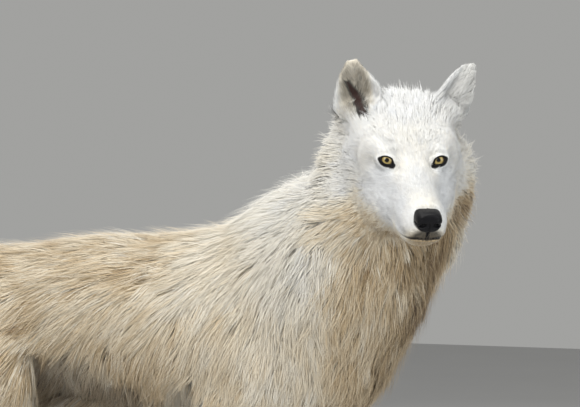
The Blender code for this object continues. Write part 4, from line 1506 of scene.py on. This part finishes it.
# Forms of the ears: side, centre, reach and push in the ear's frame
EAR_MOULDS = (
    (Side.LEFT, (-0.017, -0.016, 0.048), (0.024, 0.015, 0.03), (0.0, -0.0065, 0.0045)),
    (Side.LEFT, (-0.015, 0.024, 0.072), (0.024, 0.013, 0.016), (0.0, -0.0065, 0.0)),
    (Side.LEFT, (-0.014, 0.004, 0.042), (0.022, 0.015, 0.034), (0.0105, 0.0, 0.0)),
    (Side.LEFT, (-0.017, -0.018, 0.032), (0.02, 0.011, 0.022), (0.008, 0.0, 0.0)),
    (Side.LEFT, (-0.018, -0.008, 0.066), (0.02, 0.011, 0.026), (0.008, 0.0, 0.0)),
    (Side.LEFT, (-0.013, 0.026, 0.056), (0.024, 0.012, 0.022), (0.006, -0.007, 0.0)),
    (Side.LEFT, (-0.016, -0.002, 0.09), (0.02, 0.012, 0.022), (0.005, 0.0, 0.0)),
    (Side.LEFT, (-0.012, 0.006, 0.055), (0.03, 0.016, 0.038), (0.0085, -0.0105, 0.0)),
    (Side.LEFT, (-0.006, 0.022, 0.036), (0.03, 0.016, 0.028), (0.008, -0.01, 0.0)),
    (Side.LEFT, (-0.008, 0.033, 0.016), (0.024, 0.013, 0.014), (0.0, 0.005, 0.0)),
    (Side.LEFT, (-0.01, 0.01, 0.105), (0.02, 0.02, 0.016), (0.0, 0.0, 0.005)),
    (Side.RIGHT, (-0.012, 0.0, 0.112), (0.02, 0.009, 0.012), (0.0, 0.0, 0.0045)),
    (Side.RIGHT, (-0.01, 0.024, 0.044), (0.024, 0.013, 0.022), (0.0, 0.009, 0.0)),
    (Side.RIGHT, (-0.01, 0.012, 0.1), (0.02, 0.01, 0.014), (0.0, 0.003, 0.002)),
    (Side.RIGHT, (-0.01, -0.012, 0.1), (0.02, 0.01, 0.014), (0.0, -0.0026, 0.0026)),
)


def lip_height(forward: Rows) -> Rows:
    """The height of the mouth's line in the head's frame.

    Args:
        forward: Places along the muzzle.

    Returns:
        Heights.
    """
    share = np.clip((0.240 - forward) / 0.094, 0.0, 1.0)
    return -0.0215 - 0.0055 * np.sin(np.pi * share**0.8) - 0.0035 * share


# Eyes, nose and claws


@dataclass
class Eye:
    """One eyeball with its lid rim."""

    seat: EyeSeat
    iris: float = 0.0076
    bulge: float = 0.0004
    gaze: Triple = (0.916, -0.156, 0.371)
    waves: tuple[int, ...] = (9, 14, 23, 31)  # streaks round the iris
    rim_rows: tuple[tuple[float, float], ...] = (  # how far outside the opening, and how high
        (-0.0007, 0.0001),
        (0.0000, 0.0012),
        (0.0010, 0.0016),
        (0.0024, 0.0014),
        (0.0038, -0.0004),
    )
    rim_wall: float = 0.0006

    def ball(self) -> Piece:
        """Makes the eyeball, whose clear front stands out a little over the iris.

        Returns:
            The finished piece.
        """
        head_turn = self.seat.marks.head.to_3x3()
        look = (head_turn @ Vector(self.gaze)).normalized()
        turn = Vector((0, 0, 1)).rotation_difference(look).to_matrix().to_4x4()
        place = Matrix.Translation(self.seat.matrix.translation) @ turn
        bm = bmesh.new()
        bmesh.ops.create_uvsphere(bm, u_segments=64, v_segments=72, radius=self.seat.radius)
        piece = from_bmesh(f"eyeball_{self.seat.side.label}", bm)
        points = mesh_points(piece.data)
        reach = np.where(points[:, 2] > 0, np.hypot(points[:, 0], points[:, 1]) / self.iris, 2.0)
        dome = self.bulge * np.clip(1.0 - (reach / 1.08) ** 2, 0.0, None)
        points = points * (1.0 + dome / self.seat.radius)[:, None]
        angle = np.arctan2(points[:, 1], points[:, 0])
        waves = sum(
            np.sin(k * angle + 1.7 * k) * (0.6 + 0.4 * np.sin(5.0 * reach + k)) for k in self.waves
        )
        set_attribute(piece.data, "reach", np.clip(reach, 0.0, 2.0))
        set_attribute(piece.data, "streak", np.clip(0.5 + 0.22 * waves, 0.0, 1.0) * (reach > 0.44))
        set_points(piece.data, placed(place, points))
        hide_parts(f"eye_{self.seat.side.label}")
        finish_piece(piece, eye_material(EyeFinish()))
        return piece

    def lids(self) -> Piece:
        """Makes the dark rim of the lids, a rounded band from the eyeball to the skin.

        Returns:
            The finished piece.
        """
        seat, count = self.seat, self.seat.steps
        bm = bmesh.new()
        bmesh.ops.create_circle(bm, segments=count, radius=seat.outer)
        ring = sorted(bm.verts, key=lambda v: math.atan2(v.co.y, v.co.x) % math.tau)
        angle = np.linspace(0.0, math.tau, count, endpoint=False)
        corner = smooth_ramp(np.abs(np.cos(angle)), 0.80, 1.0)
        for number, (spread, height) in enumerate(self.rim_rows):
            if number:
                edges = [e for e in bm.edges if e.verts[0] in ring and e.verts[1] in ring]
                order = {tuple(v.co): k for k, v in enumerate(ring)}
                made = bmesh.ops.extrude_edge_only(bm, edges=edges)["geom"]
                fresh = [v for v in made if isinstance(v, bmesh.types.BMVert)]
                ring = sorted(fresh, key=lambda v: order[tuple(v.co)])
            flat = seat.rim(count, spread)
            below = smooth_ramp(flat[:, 1], 0.0030, -0.0035)[:, None]
            narrow, wide = seat.rim(count, spread * 0.66), seat.rim(count, spread * 1.36)
            flat = narrow + (wide - narrow) * below
            flat += (seat.rim(count) - flat) * (0.45 * corner)[:, None]
            points = np.stack([flat[:, 0], flat[:, 1], seat.dome(flat) + height * 1.15], 1)
            for vertex, point in zip(ring, placed(seat.matrix, points)):
                vertex.co = point
        bmesh.ops.recalc_face_normals(bm, faces=bm.faces[:])
        piece = from_bmesh(f"lid_rim_{seat.side.label}", bm)
        wall = piece.modifiers.new("wall", "SOLIDIFY")
        wall.thickness = self.rim_wall
        wall.offset = -1.0
        round_off = piece.modifiers.new("round_off", "SUBSURF")
        round_off.levels = round_off.render_levels = 1
        applied(piece)
        piece.data.shade_smooth()
        finish_piece(piece, leather_material("lid_leather", LID_LEATHER))
        return piece

    def build(self) -> None:
        """Makes the eyeball and its rim."""
        self.ball()
        self.lids()


@dataclass
class Nose:
    """The nose pad: broad above, narrower below, with comma-shaped nostrils and a cleft."""

    marks: Landmarks
    centre: Triple = (0.2365, 0.0, 0.0054)
    half: Triple = (0.0168, 0.0192, 0.0147)
    swell: float = 1.16  # makes up for what rounding takes off the block
    low_width: float = 0.80
    low_back: float = 0.26
    high_width: float = 0.99
    front_width: float = 0.86
    corner_from: float = 0.94
    corner_pull: float = 0.44

    def build(self) -> Piece:
        """Makes the pad.

        Returns:
            The finished piece.
        """
        bm = bmesh.new()
        bmesh.ops.create_cube(bm, size=2.0)
        bmesh.ops.subdivide_edges(bm, edges=bm.edges[:], cuts=1, use_grid_fill=True)
        for vertex in bm.verts:
            if vertex.co.z < -0.5:
                vertex.co.y *= self.low_width
                vertex.co.x -= self.low_back
            if vertex.co.z > 0.5:
                vertex.co.y *= self.high_width
            if vertex.co.x > 0.5:
                vertex.co.y *= self.front_width
        piece = from_bmesh("nose_pad", bm)
        rounding = piece.modifiers.new("rounding", "SUBSURF")
        rounding.levels = rounding.render_levels = 5
        applied(piece)
        points = mesh_points(piece.data) * self.swell
        reach = np.hypot(points[:, 1], points[:, 2])
        past = np.clip(reach - self.corner_from, 0.0, None)
        points[:, 1:] *= (1.0 - self.corner_pull * past / np.maximum(reach, 0.1))[:, None]
        points = self.nostrils(points)
        points = placed(self.marks.head, points * np.array(self.half) + np.array(self.centre))
        set_points(piece.data, points)
        piece.data.shade_smooth()
        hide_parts("nose")
        finish_piece(piece, leather_material("nose_leather", LeatherFinish()))
        return piece

    def nostrils(self, points: Rows) -> Rows:
        """Sinks the nostrils, their outer slits and the cleft between them.

        Args:
            points: The pad's points, about one unit to each side.

        Returns:
            The moved points.
        """
        x, y, z = points[:, 0].copy(), np.abs(points[:, 1]), points[:, 2]
        front = smooth_ramp(x, 0.1, 0.6)
        hole = np.exp(-((((y - 0.52) / 0.24) ** 2 + ((z + 0.16 + 0.35 * (y - 0.5)) / 0.20) ** 2) ** 2))
        slit = np.exp(-(((z + 0.34 - 0.25 * y) / 0.10) ** 2)) * smooth_ramp(y, 0.52, 0.74)
        cleft = np.exp(-((y / 0.055) ** 2)) * smooth_ramp(z, 0.30, -0.10)
        wing = np.exp(-(((y - 0.56) / 0.34) ** 2 + ((z - 0.26) / 0.20) ** 2))
        moved = points.copy()
        moved[:, 0] -= front * (0.40 * hole + 0.10 * cleft - 0.07 * wing)
        moved[:, 1] -= np.sign(points[:, 1]) * 0.16 * slit * smooth_ramp(x, -0.4, 0.1)
        return moved


@dataclass
class Claws:
    """The claws of one paw, rounded from their solids."""

    end: str
    side: Side
    lowest: float = 0.0006

    def build(self) -> Piece:
        """Makes the four claws as one piece.

        Returns:
            The finished piece.
        """
        nodes = [f"claw_{self.end}_{self.side.label}_{k}" for k in range(1, 5)]
        bm = bmesh.new()
        for node in nodes:
            bm.from_mesh(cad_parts[node].data)
        bmesh.ops.remove_doubles(bm, verts=bm.verts[:], dist=0.00003)
        piece = from_bmesh(f"claws_{self.end}_{self.side.label}", bm)
        rounding = piece.modifiers.new("rounding", "SUBSURF")
        rounding.levels = rounding.render_levels = 2
        applied(piece)
        points = mesh_points(piece.data)
        points[:, 2] = np.maximum(points[:, 2], self.lowest)
        set_points(piece.data, points)
        piece.data.shade_smooth()
        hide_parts(*nodes)
        finish_piece(piece, horn_material(HornFinish()))
        return piece


# The coat


@dataclass(frozen=True)
class Patch:
    """One stretch of coat: where its roots are nearest, and the axis its unwrap runs along."""

    name: str
    nodes: tuple[str, ...]
    side: Side | None
    zone: Zone
    start: Triple
    end: Triple
    slot: str = "coat_cream"


LEG_OUT = 0.078  # how far a leg stands from the middle


def patches() -> tuple[Patch, ...]:
    """Lists the stretches of coat over the whole body.

    Returns:
        The patches, in the order in which they are grown.
    """
    head, body, white = Zone.HEAD, Zone.BODY, "coat_white"
    found = []
    for side in Side:
        y, label = LEG_OUT * side.value, side.label
        foreleg = (f"front_leg_{label}", f"paw_front_{label}")
        hindleg = (f"rear_leg_{label}", f"paw_rear_{label}")
        found += [
            Patch(f"face_{label}", ("head", "lower_jaw"), side, head, (-0.1, 0, 0), (0.25, 0, 0), white),
            Patch(f"ear_{label}", (f"ear_{label}",), None, head, (0, y, 0.06), (0, y, 0.17), white),
            Patch(f"neck_{label}", ("neck",), side, body, (0.22, 0, 0.60), (0.45, -0.05, 0.85), "coat_tan"),
            Patch(f"trunk_{label}", ("trunk",), side, body, (-0.45, 0, 0.62), (0.42, 0, 0.60)),
            Patch(f"foreleg_{label}", foreleg, None, body, (0.24, y, 0.0), (0.19, y, 0.52)),
            Patch(f"hindleg_{label}", hindleg, None, body, (-0.39, y, 0.0), (-0.28, y, 0.63)),
        ]
    found.append(Patch("tail", ("tail",), None, body, (-0.44, 0, 0.66), (-0.53, 0, 0.28)))
    return tuple(found)


@dataclass(frozen=True)
class TuftShape:
    """One closed tuft: its faces, and each corner's place across and along it."""

    faces: tuple[tuple[int, ...], ...]
    across: tuple[float, ...]
    along: tuple[float, ...]


BENT = TuftShape(
    ((2, 1, 4), (3, 2, 4), (1, 3, 4), (1, 2, 0), (2, 3, 0), (3, 1, 0)),
    (0.5, 0.0, 1.0, 0.5, 0.5),
    (0.0, 0.5, 0.5, 0.55, 1.0),
)
STRAIGHT = TuftShape(
    ((1, 0, 3), (2, 1, 3), (0, 2, 3), (0, 1, 2)),
    (0.0, 1.0, 0.5, 0.5),
    (0.0, 0.0, 0.1, 1.0),
)


@dataclass
class Coat:
    """All the tufts, grown from the skin and combed along it in locks."""

    marks: Landmarks
    skin: Skin
    seed: int = 7
    density: float = 1.0
    most_tufts: int = 26000  # in one piece
    uv_patch: float = 0.003
    middle: float = 0.42  # share of a tuft's length at which it bends and is widest
    calm: float = 0.75  # how far a tuft is shaded as the body is under it
    short: float = 0.0135  # tufts below this length are straight
    close: float = 0.024  # tufts below this length are laid on the skin they face
    strays: float = 0.09  # share of long hairs that stand out from their lock
    stray_from: float = 0.018  # length from which a hair may do so
    stray_longer: float = 0.16
    stray_higher: float = 0.70
    stray_clump: float = 0.2
    stray_width: float = 0.6
    lock_turn: float = math.radians(34)
    own_turn: float = math.radians(5)
    lock_length: tuple[float, float] = (0.85, 1.12)
    own_length: tuple[float, float] = (0.72, 1.08)
    lock_lift: tuple[float, float] = (0.80, 1.10)
    own_lift: tuple[float, float] = (0.62, 1.10)
    own_clump: tuple[float, float] = (0.6, 1.2)
    middle_lift: float = 0.66  # a tuft's height at its middle, of that at its tip
    middle_pull: float = 0.45
    lock_tone: float = 0.24
    own_tone: float = 0.26
    dark_hair: float = 0.9
    dark_hairs: float = 0.10
    fringe_turn: float = 0.4  # how far the shading of the belly's fringe is turned outwards
    hang_turn: float = 0.85  # how far hanging hair is shaded along itself
    edge_depth: float = 0.15  # of a tuft's edges below its middle line, in half widths
    ridge_height: float = 0.40
    lowest: float = 0.0003
    sway: float = 0.055
    sway_waves: tuple[Triple, ...] = ((31.0, 12.0, 47.0), (-58.0, 21.0, 34.0), (85.0, -40.0, -66.0))
    sway_starts: Triple = (0.4, 1.9, 3.1)
    pad_middle: Triple = (0.2365, 0.0, 0.0035)
    pad_reach: Triple = (0.017, 0.019, 0.0155)
    tear_corner: Triple = (-0.0124, -0.0070, 0.0)
    surface: BVHTree = field(init=False)
    roots: Rows = field(init=False)
    normals: Rows = field(init=False)
    lie: Rows = field(init=False)
    grey_and_shade: Rows = field(init=False)
    stray: Rows = field(init=False)
    middle_points: Rows = field(init=False)
    middle_normals: Rows = field(init=False)
    tips: Rows = field(init=False)
    tip_normals: Rows = field(init=False)
    calms: Rows = field(init=False)
    tones: Rows = field(init=False)

    def column(self, measure: Lie) -> Rows:
        """One measure of how the coat lies, for each root."""
        return self.lie[:, measure]

    def sow(self, rng: np.random.Generator) -> None:
        """Scatters roots over the skin, closer where the hair is fine.

        Args:
            rng: The random source.
        """
        mesh = self.skin.piece.data
        points, normals = mesh_points(mesh), mesh_normals(mesh)
        triangles = mesh_triangles(mesh)
        corners = points[triangles]
        edges = corners[:, 1:] - corners[:, :1]
        area = 0.5 * np.linalg.norm(np.cross(edges[:, 0], edges[:, 1]), axis=1)
        lie = self.skin.lie
        spacing = lie[:, Lie.SPACING][triangles].mean(1)
        bald = self.bald_share(points)[triangles].mean(1)
        weight = self.density * area * (1.0 - bald) / spacing**2
        total = np.cumsum(weight)
        count = int(total[-1])
        picks = np.searchsorted(total, (np.arange(count) + rng.random(count)) / count * total[-1])
        picks = np.minimum(picks, len(triangles) - 1)
        first, second = rng.random((2, count))
        flip = first + second > 1
        first, second = np.where(flip, 1 - first, first), np.where(flip, 1 - second, second)
        shares = np.stack([1 - first - second, first, second], 1)[:, :, None]
        chosen = triangles[picks]
        self.roots = (points[chosen] * shares).sum(1)
        self.normals = unit((normals[chosen] * shares).sum(1))
        self.lie = (lie[chosen] * shares).sum(1)
        self.lie[:, :3] = self.skin.groom.laid(self.lie, self.normals)
        # grey marks, and painted shade in the right ear's hollow and canal
        self.grey_and_shade = self.skin.groom.grey_and_shade(self.roots, self.normals)
        grain = smooth_ramp(self.column(Lie.LENGTH), 0.030, 0.012)
        grain = grain * np.abs(rng.normal(0.0, 0.04, count))
        self.grey_and_shade = np.clip(self.grey_and_shade + grain, 0.0, 1.0)
        log.info("tufts sown: %d", count)

    def bald_share(self, points: Rows) -> Rows:
        """Tells where no tufts grow: lids, lips, nose, soles and the ear's canal.

        Args:
            points: The skin's points.

        Returns:
            A share for each point.
        """
        mesh = self.skin.piece.data
        found = []
        for name in ("bare", "canal"):
            values = np.empty(len(points), np.float32)
            mesh.attributes[name].data.foreach_get("value", values)
            found.append(values)
        local = self.marks.in_head(points) - np.array(self.pad_middle)
        clear = smooth_ramp(np.linalg.norm(local / np.array(self.pad_reach), axis=1), 1.18, 1.05)
        for side in Side:
            to_eye = EyeSeat(side, self.marks).matrix.inverted()
            eye = placed(to_eye, points) - np.array(self.tear_corner)
            corner = smooth_ramp(np.hypot(eye[:, 0], eye[:, 1]), 0.0070, 0.0054)
            clear = np.maximum(clear, corner * (np.abs(eye[:, 2]) < 0.02))
        return np.clip(np.maximum(found[0] * 1.6, found[1]) + clear, 0.0, 1.0)

    def gather(self, rng: np.random.Generator) -> Rows:
        """Gives each root a lock.

        Args:
            rng: The random source.

        Returns:
            For each root, the number of the root that leads its lock.
        """
        share = (self.column(Lie.SPACING) / self.column(Lie.LOCK)) ** 2
        leaders = np.nonzero(rng.random(len(self.roots)) < share)[0]
        tree = KDTree(len(leaders))
        for k, number in enumerate(leaders):
            tree.insert(self.roots[number], k)
        tree.balance()
        return leaders[np.array([tree.find(root)[1] for root in self.roots])]

    def combed(self, flow: Rows, reach: Rows, height: Rows) -> tuple[Rows, Rows]:
        """Points reached by combing from the roots along the skin.

        Args:
            flow: The way the hairs lie.
            reach: How far along the skin.
            height: How high above it.

        Returns:
            The points, and the normals of the skin below them.
        """
        ahead = self.roots + flow * reach[:, None]
        hang = np.clip(self.column(Lie.HANG), 0.0, 1.0)[:, None]
        found, normals = np.empty_like(ahead), np.empty_like(ahead)
        short = self.column(Lie.LENGTH) < self.close
        for k, point in enumerate(ahead):
            place = None
            if short[k]:
                upwards = Vector(self.normals[k])
                place, normal, _, _ = self.surface.ray_cast(Vector(point) + 0.006 * upwards, -upwards, 0.012)
            if place is None:
                place, normal, _, _ = self.surface.find_nearest(Vector(point))
            found[k] = place + normal * height[k]
            normals[k] = normal
        free = ahead + self.normals * height[:, None]
        return found + (free - found) * hang, unit(normals + (self.normals - normals) * hang)

    def comb(self, rng: np.random.Generator) -> None:
        """Finds each tuft's middle and tip, drawn towards the leader of its lock.

        Args:
            rng: The random source.
        """
        leader = self.gather(rng)
        count = len(self.roots)
        hair, lie = self.column(Lie.LENGTH), self.lie[:, :3]
        self.stray = (rng.random(count) < self.strays) & (hair > self.stray_from)
        turn = rng.normal(0.0, self.lock_turn, count)[leader] * self.column(Lie.CLUMP)
        lock_length = rng.uniform(*self.lock_length, count)[leader]
        lock_lift = rng.uniform(*self.lock_lift, count)[leader]
        drift = self.drift() * smooth_ramp(hair, 0.012, 0.040)
        yaw = drift + turn + rng.normal(0.0, self.own_turn, count) * (1.0 + self.stray)
        flow = lie * np.cos(yaw)[:, None] + np.cross(self.normals, lie) * np.sin(yaw)[:, None]
        length = hair * lock_length * rng.uniform(*self.own_length, count)
        length *= 1.0 + self.stray_longer * self.stray
        height = self.column(Lie.LIFT) * lock_lift * rng.uniform(*self.own_lift, count)
        height *= 1.0 + self.stray_higher * self.stray
        lying = np.sqrt(np.maximum(length**2 - height**2, 0.0))
        halfway, self.middle_normals = self.combed(flow, lying * self.middle, height * self.middle_lift)
        tip, self.tip_normals = self.combed(flow, lying, height)
        clump = self.column(Lie.CLUMP) * np.where(self.stray, self.stray_clump, 1.0)
        pull = (clump * rng.uniform(*self.own_clump, count))[:, None]
        self.middle_points = halfway + (halfway[leader] - halfway) * pull * self.middle_pull
        self.tips = tip + (tip[leader] - tip) * pull
        self.even_out()
        self.mark(leader, rng)

    def even_out(self) -> None:
        """Turns the shading of the left ear's front to one side, and that of the fringe outwards."""
        share, front = self.skin.groom.ear_front(self.roots, self.normals)
        across = np.array(self.marks.body.to_3x3() @ Vector((0, 1, 0)))
        outer = across * np.sign(placed(self.marks.body.inverted(), self.roots)[:, 1:2])
        long = smooth_ramp(self.column(Lie.LENGTH), 0.030, 0.060)
        under = long * smooth_ramp(-self.normals[:, 2], 0.45, 0.85)
        self.calms = self.calm * (1.0 - under)
        for rows in (self.middle_normals, self.tip_normals):
            rows += share[:, None] * (front - rows) + self.fringe_turn * under[:, None] * (outer - rows)
            rows[:] = unit(rows)

    def mark(self, leader: Rows, rng: np.random.Generator) -> None:
        """Gives each tuft its grey and its tone, which it shares in part with its lock.

        Args:
            leader: For each root, the number of the root that leads its lock.
            rng: The random source.
        """
        count = len(self.roots)
        grain = smooth_ramp(self.column(Lie.LENGTH), 0.030, 0.012) * 0.05
        grain = grain * np.abs(rng.normal(0.0, 1.0, count))[leader]
        self.grey_and_shade = np.clip(self.grey_and_shade + grain, 0.0, 1.0)
        tone, streak = self.column(Lie.TONE), self.column(Lie.STREAK)
        lock_tone = rng.normal(0.0, self.lock_tone, count)[leader]
        own_tone = rng.normal(0.0, self.own_tone, count)
        own_tone = own_tone + self.dark_hair * (rng.random(count) < self.dark_hairs * streak)
        self.tones = np.clip(tone + streak * (lock_tone + own_tone) * (0.30 + tone), 0.0, 1.0)

    def drift(self) -> Rows:
        """A slow sideways wander of the flow over the body, in radians for each root."""
        waves = np.array(self.sway_waves)
        return self.sway * np.sin(self.roots @ waves.T + np.array(self.sway_starts)).sum(1)

    def label(self) -> Rows:
        """Finds the flesh solid that each root is nearest to.

        Returns:
            Numbers in the order of FLESH.
        """
        bm = bmesh.new()
        owners = []
        for k, node in enumerate(FLESH):
            bm.from_mesh(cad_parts[node].data)
            owners += [k] * (len(bm.faces) - len(owners))
        tree = BVHTree.FromBMesh(bm)
        bm.free()
        mesh = self.skin.piece.data
        points = mesh_points(mesh)
        nearest = np.array([owners[tree.find_nearest(Vector(p))[2]] for p in points])
        lookup = KDTree(len(points))
        for k, point in enumerate(points):
            lookup.insert(point, k)
        lookup.balance()
        return np.array([nearest[lookup.find(root)[1]] for root in self.roots])

    def unwrapped(self, patch: Patch, chosen: Rows, whole: Rows) -> Rows:
        """Places of roots on the skin laid flat round the patch's axis.

        Args:
            patch: The stretch of coat.
            chosen: Which roots.
            whole: All the roots of the piece, which fill the unwrap.

        Returns:
            Rows of u and v.
        """
        to_model = self.marks.frame_of(patch.zone)
        start = np.array(to_model @ Vector(patch.start))
        axis = np.array(to_model @ Vector(patch.end)) - start
        span = np.linalg.norm(axis)
        axis = axis / span
        across = unit(np.cross(axis, np.array((0.31, 0.0, 1.0)))[None])[0]
        over = np.cross(axis, across)
        tables = []
        for roots in (self.roots[chosen], self.roots[whole]):
            offset = roots - start
            tables.append(np.stack([offset @ axis, np.arctan2(offset @ over, offset @ across)], 1))
        low, high = tables[1].min(0), tables[1].max(0)
        return 0.01 + 0.975 * (tables[0] - low) / (high - low)

    def grow(self, patch: Patch, chosen: Rows, name: str, material: Material) -> None:
        """Makes one piece of coat.

        Args:
            patch: The stretch of coat that it belongs to.
            chosen: Which roots it holds.
            name: The piece's name.
            material: The coat's material.
        """
        mesh = bpy.data.meshes.new(name)
        straight = self.lie[chosen, Lie.LENGTH] < self.short
        blocks = [
            self.tufts(patch, chosen[straight], chosen, STRAIGHT),
            self.tufts(patch, chosen[~straight], chosen, BENT),
        ]
        points, tones, grey_and_shade, along, places, normals = (
            np.concatenate([block[k] for block in blocks]) for k in range(6)
        )
        loops, sizes, first = [], [], 0
        for shape, block in zip((STRAIGHT, BENT), blocks):
            corners = len(shape.across)
            count = len(block[0]) // corners
            flat = np.concatenate([np.array(face) for face in shape.faces])
            loops.append((flat[None] + first + corners * np.arange(count)[:, None]).ravel())
            sizes.append(np.tile([len(face) for face in shape.faces], count))
            first += len(block[0])
        loops, sizes = np.concatenate(loops), np.concatenate(sizes)
        mesh.vertices.add(len(points))
        mesh.vertices.foreach_set("co", points.astype(np.float32).ravel())
        mesh.loops.add(len(loops))
        mesh.loops.foreach_set("vertex_index", loops.astype(np.int32))
        mesh.polygons.add(len(sizes))
        mesh.polygons.foreach_set("loop_start", (np.cumsum(sizes) - sizes).astype(np.int32))
        mesh.polygons.foreach_set("use_smooth", np.ones(len(sizes), bool))
        mesh.update(calc_edges=True)
        for layer, values in (("tone", tones), ("grey_and_shade", grey_and_shade), ("along", along)):
            set_attribute(mesh, layer, values)
        facing = mesh.attributes.new("custom_normal", "FLOAT_VECTOR", "POINT")
        facing.data.foreach_set("vector", normals.astype(np.float32).ravel())
        unwrap = mesh.uv_layers.new(name="OFBake")
        unwrap.uv.foreach_set("vector", places[loops].astype(np.float32).ravel())
        piece = linked(name, mesh)
        finish_piece(piece, material)

    def tufts(self, patch: Patch, chosen: Rows, whole: Rows, shape: TuftShape) -> tuple[Rows, ...]:
        """Lays out the corners of tufts of one shape, with what is stored on them.

        Args:
            patch: The stretch of coat that they belong to.
            chosen: Which roots.
            whole: All the roots of the piece.
            shape: The tufts' shape.

        Returns:
            Points, tones, smoke, places along the tuft, unwrapped places and normals, a row to a corner.
        """
        root, middle, tip = self.roots[chosen], self.middle_points[chosen], self.tips[chosen]
        normal = self.normals[chosen]
        thinner = np.where(self.stray[chosen], self.stray_width, 1.0)[:, None]
        half = self.lie[chosen, Lie.WIDTH][:, None] / 2 * thinner
        root = root - normal * half
        ahead = tip - root
        place, lying = (middle, self.middle_normals[chosen]) if shape is BENT else (root, normal)
        across = unit(np.cross(ahead, lying))
        above = unit(np.cross(across, ahead))
        edge = place - above * half * self.edge_depth
        ring = [edge - across * half, edge + across * half, place + above * half * self.ridge_height]
        calm = self.calms[chosen][:, None]
        facing = [unit(lying * calm + (1.0 - calm) * way) for way in (-across, across, above)]
        end = unit(self.tip_normals[chosen] * calm + above * (1.0 - calm))
        if shape is BENT:
            ring, facing = [root, *ring], [normal, *facing]
        free = self.hang_turn * smooth_ramp(self.lie[chosen, Lie.HANG], 0.35, 0.75)[:, None]
        free = free * smooth_ramp(-normal[:, 2:], -0.3, 0.2)
        facing = [unit(way + free * (unit(ahead) - way)) for way in (*facing, end)]
        corners = len(shape.across)
        points = np.stack([*ring, tip], 1).reshape(-1, 3)
        points[:, 2] = np.maximum(points[:, 2], self.lowest)
        normals = np.stack(facing, 1).reshape(-1, 3)
        tones = np.repeat(self.tones[chosen], corners)
        grey_and_shade = np.repeat(self.grey_and_shade[chosen], corners)
        along = np.tile(np.array(shape.along), len(chosen))
        spread = np.stack([np.array(shape.across), np.array(shape.along)], 1) - 0.5
        places = self.unwrapped(patch, chosen, whole)[:, None, :] + self.uv_patch * spread[None]
        return points, tones, grey_and_shade, along, places.reshape(-1, 2), normals

    def build(self) -> None:
        """Grows every patch of the coat, in pieces of a bounded size."""
        rng = np.random.default_rng(self.seed)
        bm = bmesh.new()
        bm.from_mesh(self.skin.piece.data)
        self.surface = BVHTree.FromBMesh(bm)
        bm.free()
        self.sow(rng)
        self.comb(rng)
        owner = self.label()
        material = coat_material(CoatFinish())
        for patch in patches():
            mine = np.isin(owner, [FLESH.index(node) for node in patch.nodes])
            local = placed(self.marks.frame_of(patch.zone).inverted(), self.roots)
            if patch.side is not None:
                mine &= (local[:, 1] >= 0) == (patch.side is Side.LEFT)
            chosen = np.nonzero(mine)[0]
            chosen = chosen[np.argsort(local[chosen, 0])]
            parts = max(1, math.ceil(len(chosen) / self.most_tufts))
            for number, part in enumerate(np.array_split(chosen, parts), 1):
                ending = f"_{number}" if parts > 1 else ""
                self.grow(patch, part, f"coat_{patch.name}{ending}", material)


# Studio


@dataclass(frozen=True)
class Panel:
    """One soft lamp: where it stands, its side, its power in watts and its colour."""

    name: str
    place: Triple
    size: float
    power: float
    colour: Colour


PANELS = (
    Panel("sky_panel", (0.1, -0.7, 3.2), 3.0, 66.0, (1.0, 0.99, 0.97)),
    Panel("key_panel", (0.0, -3.55, 2.5), 1.8, 75.0, (1.0, 0.985, 0.96)),
    Panel("fill_panel", (3.2, -1.0, 1.5), 1.8, 31.0, (0.97, 0.99, 1.0)),
    Panel("rim_panel", (-1.4, 2.6, 2.0), 1.6, 30.0, (1.0, 1.0, 1.0)),
)


@dataclass
class Studio:
    """The floor, the soft light and the camera."""

    marks: Landmarks
    azimuth: float = math.radians(20)
    elevation: float = math.radians(2)
    distance: float = 3.75
    lens: float = 150.0
    sensor: float = 36.0
    aim: Triple = (0.2438, 0.0268, 0.785)
    lit: Triple = (0.1, 0.05, 0.6)  # where the lamps point
    finish: StudioFinish = StudioFinish()

    def camera(self) -> None:
        """Sets the camera, level with the wolf's shoulder and to its right."""
        back = Vector(
            (
                math.sin(self.azimuth) * math.cos(self.elevation),
                -math.cos(self.azimuth) * math.cos(self.elevation),
                math.sin(self.elevation),
            )
        )
        data = bpy.data.cameras.new("camera")
        data.lens = self.lens
        data.sensor_width = self.sensor
        camera = bpy.data.objects.new("camera", data)
        camera.location = self.marks.body @ Vector(self.aim) + back * self.distance
        camera.rotation_euler = (-back).to_track_quat("-Z", "Y").to_euler()
        bpy.context.scene.collection.objects.link(camera)
        bpy.context.scene.camera = camera

    def lamp(self, panel: Panel) -> None:
        """Sets one lamp, which faces the wolf.

        Args:
            panel: What it is like.
        """
        data = bpy.data.lights.new(panel.name, "AREA")
        data.size = panel.size
        data.energy = panel.power
        data.color = panel.colour
        lamp = bpy.data.objects.new(panel.name, data)
        lamp.location = panel.place
        away = Vector(panel.place) - Vector(self.lit)
        lamp.rotation_euler = away.to_track_quat("Z", "Y").to_euler()
        bpy.context.scene.collection.objects.link(lamp)

    def build(self) -> None:
        """Sets the floor, the surroundings, the lamps and the camera."""
        bm = bmesh.new()
        bmesh.ops.create_grid(bm, x_segments=8, y_segments=8, size=6.0)
        floor = from_bmesh("floor", bm)
        floor.data.materials.append(plain_material("pale_floor", self.finish.floor, 0.7))
        world = bpy.data.worlds.new("surround")
        world.use_nodes = True
        backdrop = world.node_tree.nodes["Background"]
        backdrop.inputs["Color"].default_value = (*self.finish.surround, 1.0)
        backdrop.inputs["Strength"].default_value = self.finish.surround_strength
        bpy.context.scene.world = world
        bpy.context.scene.view_settings.view_transform = "Standard"
        for panel in PANELS:
            self.lamp(panel)
        self.camera()


def main() -> None:
    """Builds the wolf's looks and its studio."""
    logging.basicConfig(level=logging.INFO, format="%(name)s: %(message)s")
    marks = Landmarks()
    Studio(marks).build()
    skin = Skin(marks, Groom(marks))
    skin.build()
    for side in Side:
        Eye(EyeSeat(side, marks)).build()
        for end in ("front", "rear"):
            Claws(end, side).build()
    Nose(marks).build()
    Coat(marks, skin, density=1.0).build()


if __name__ == "__main__":
    main()
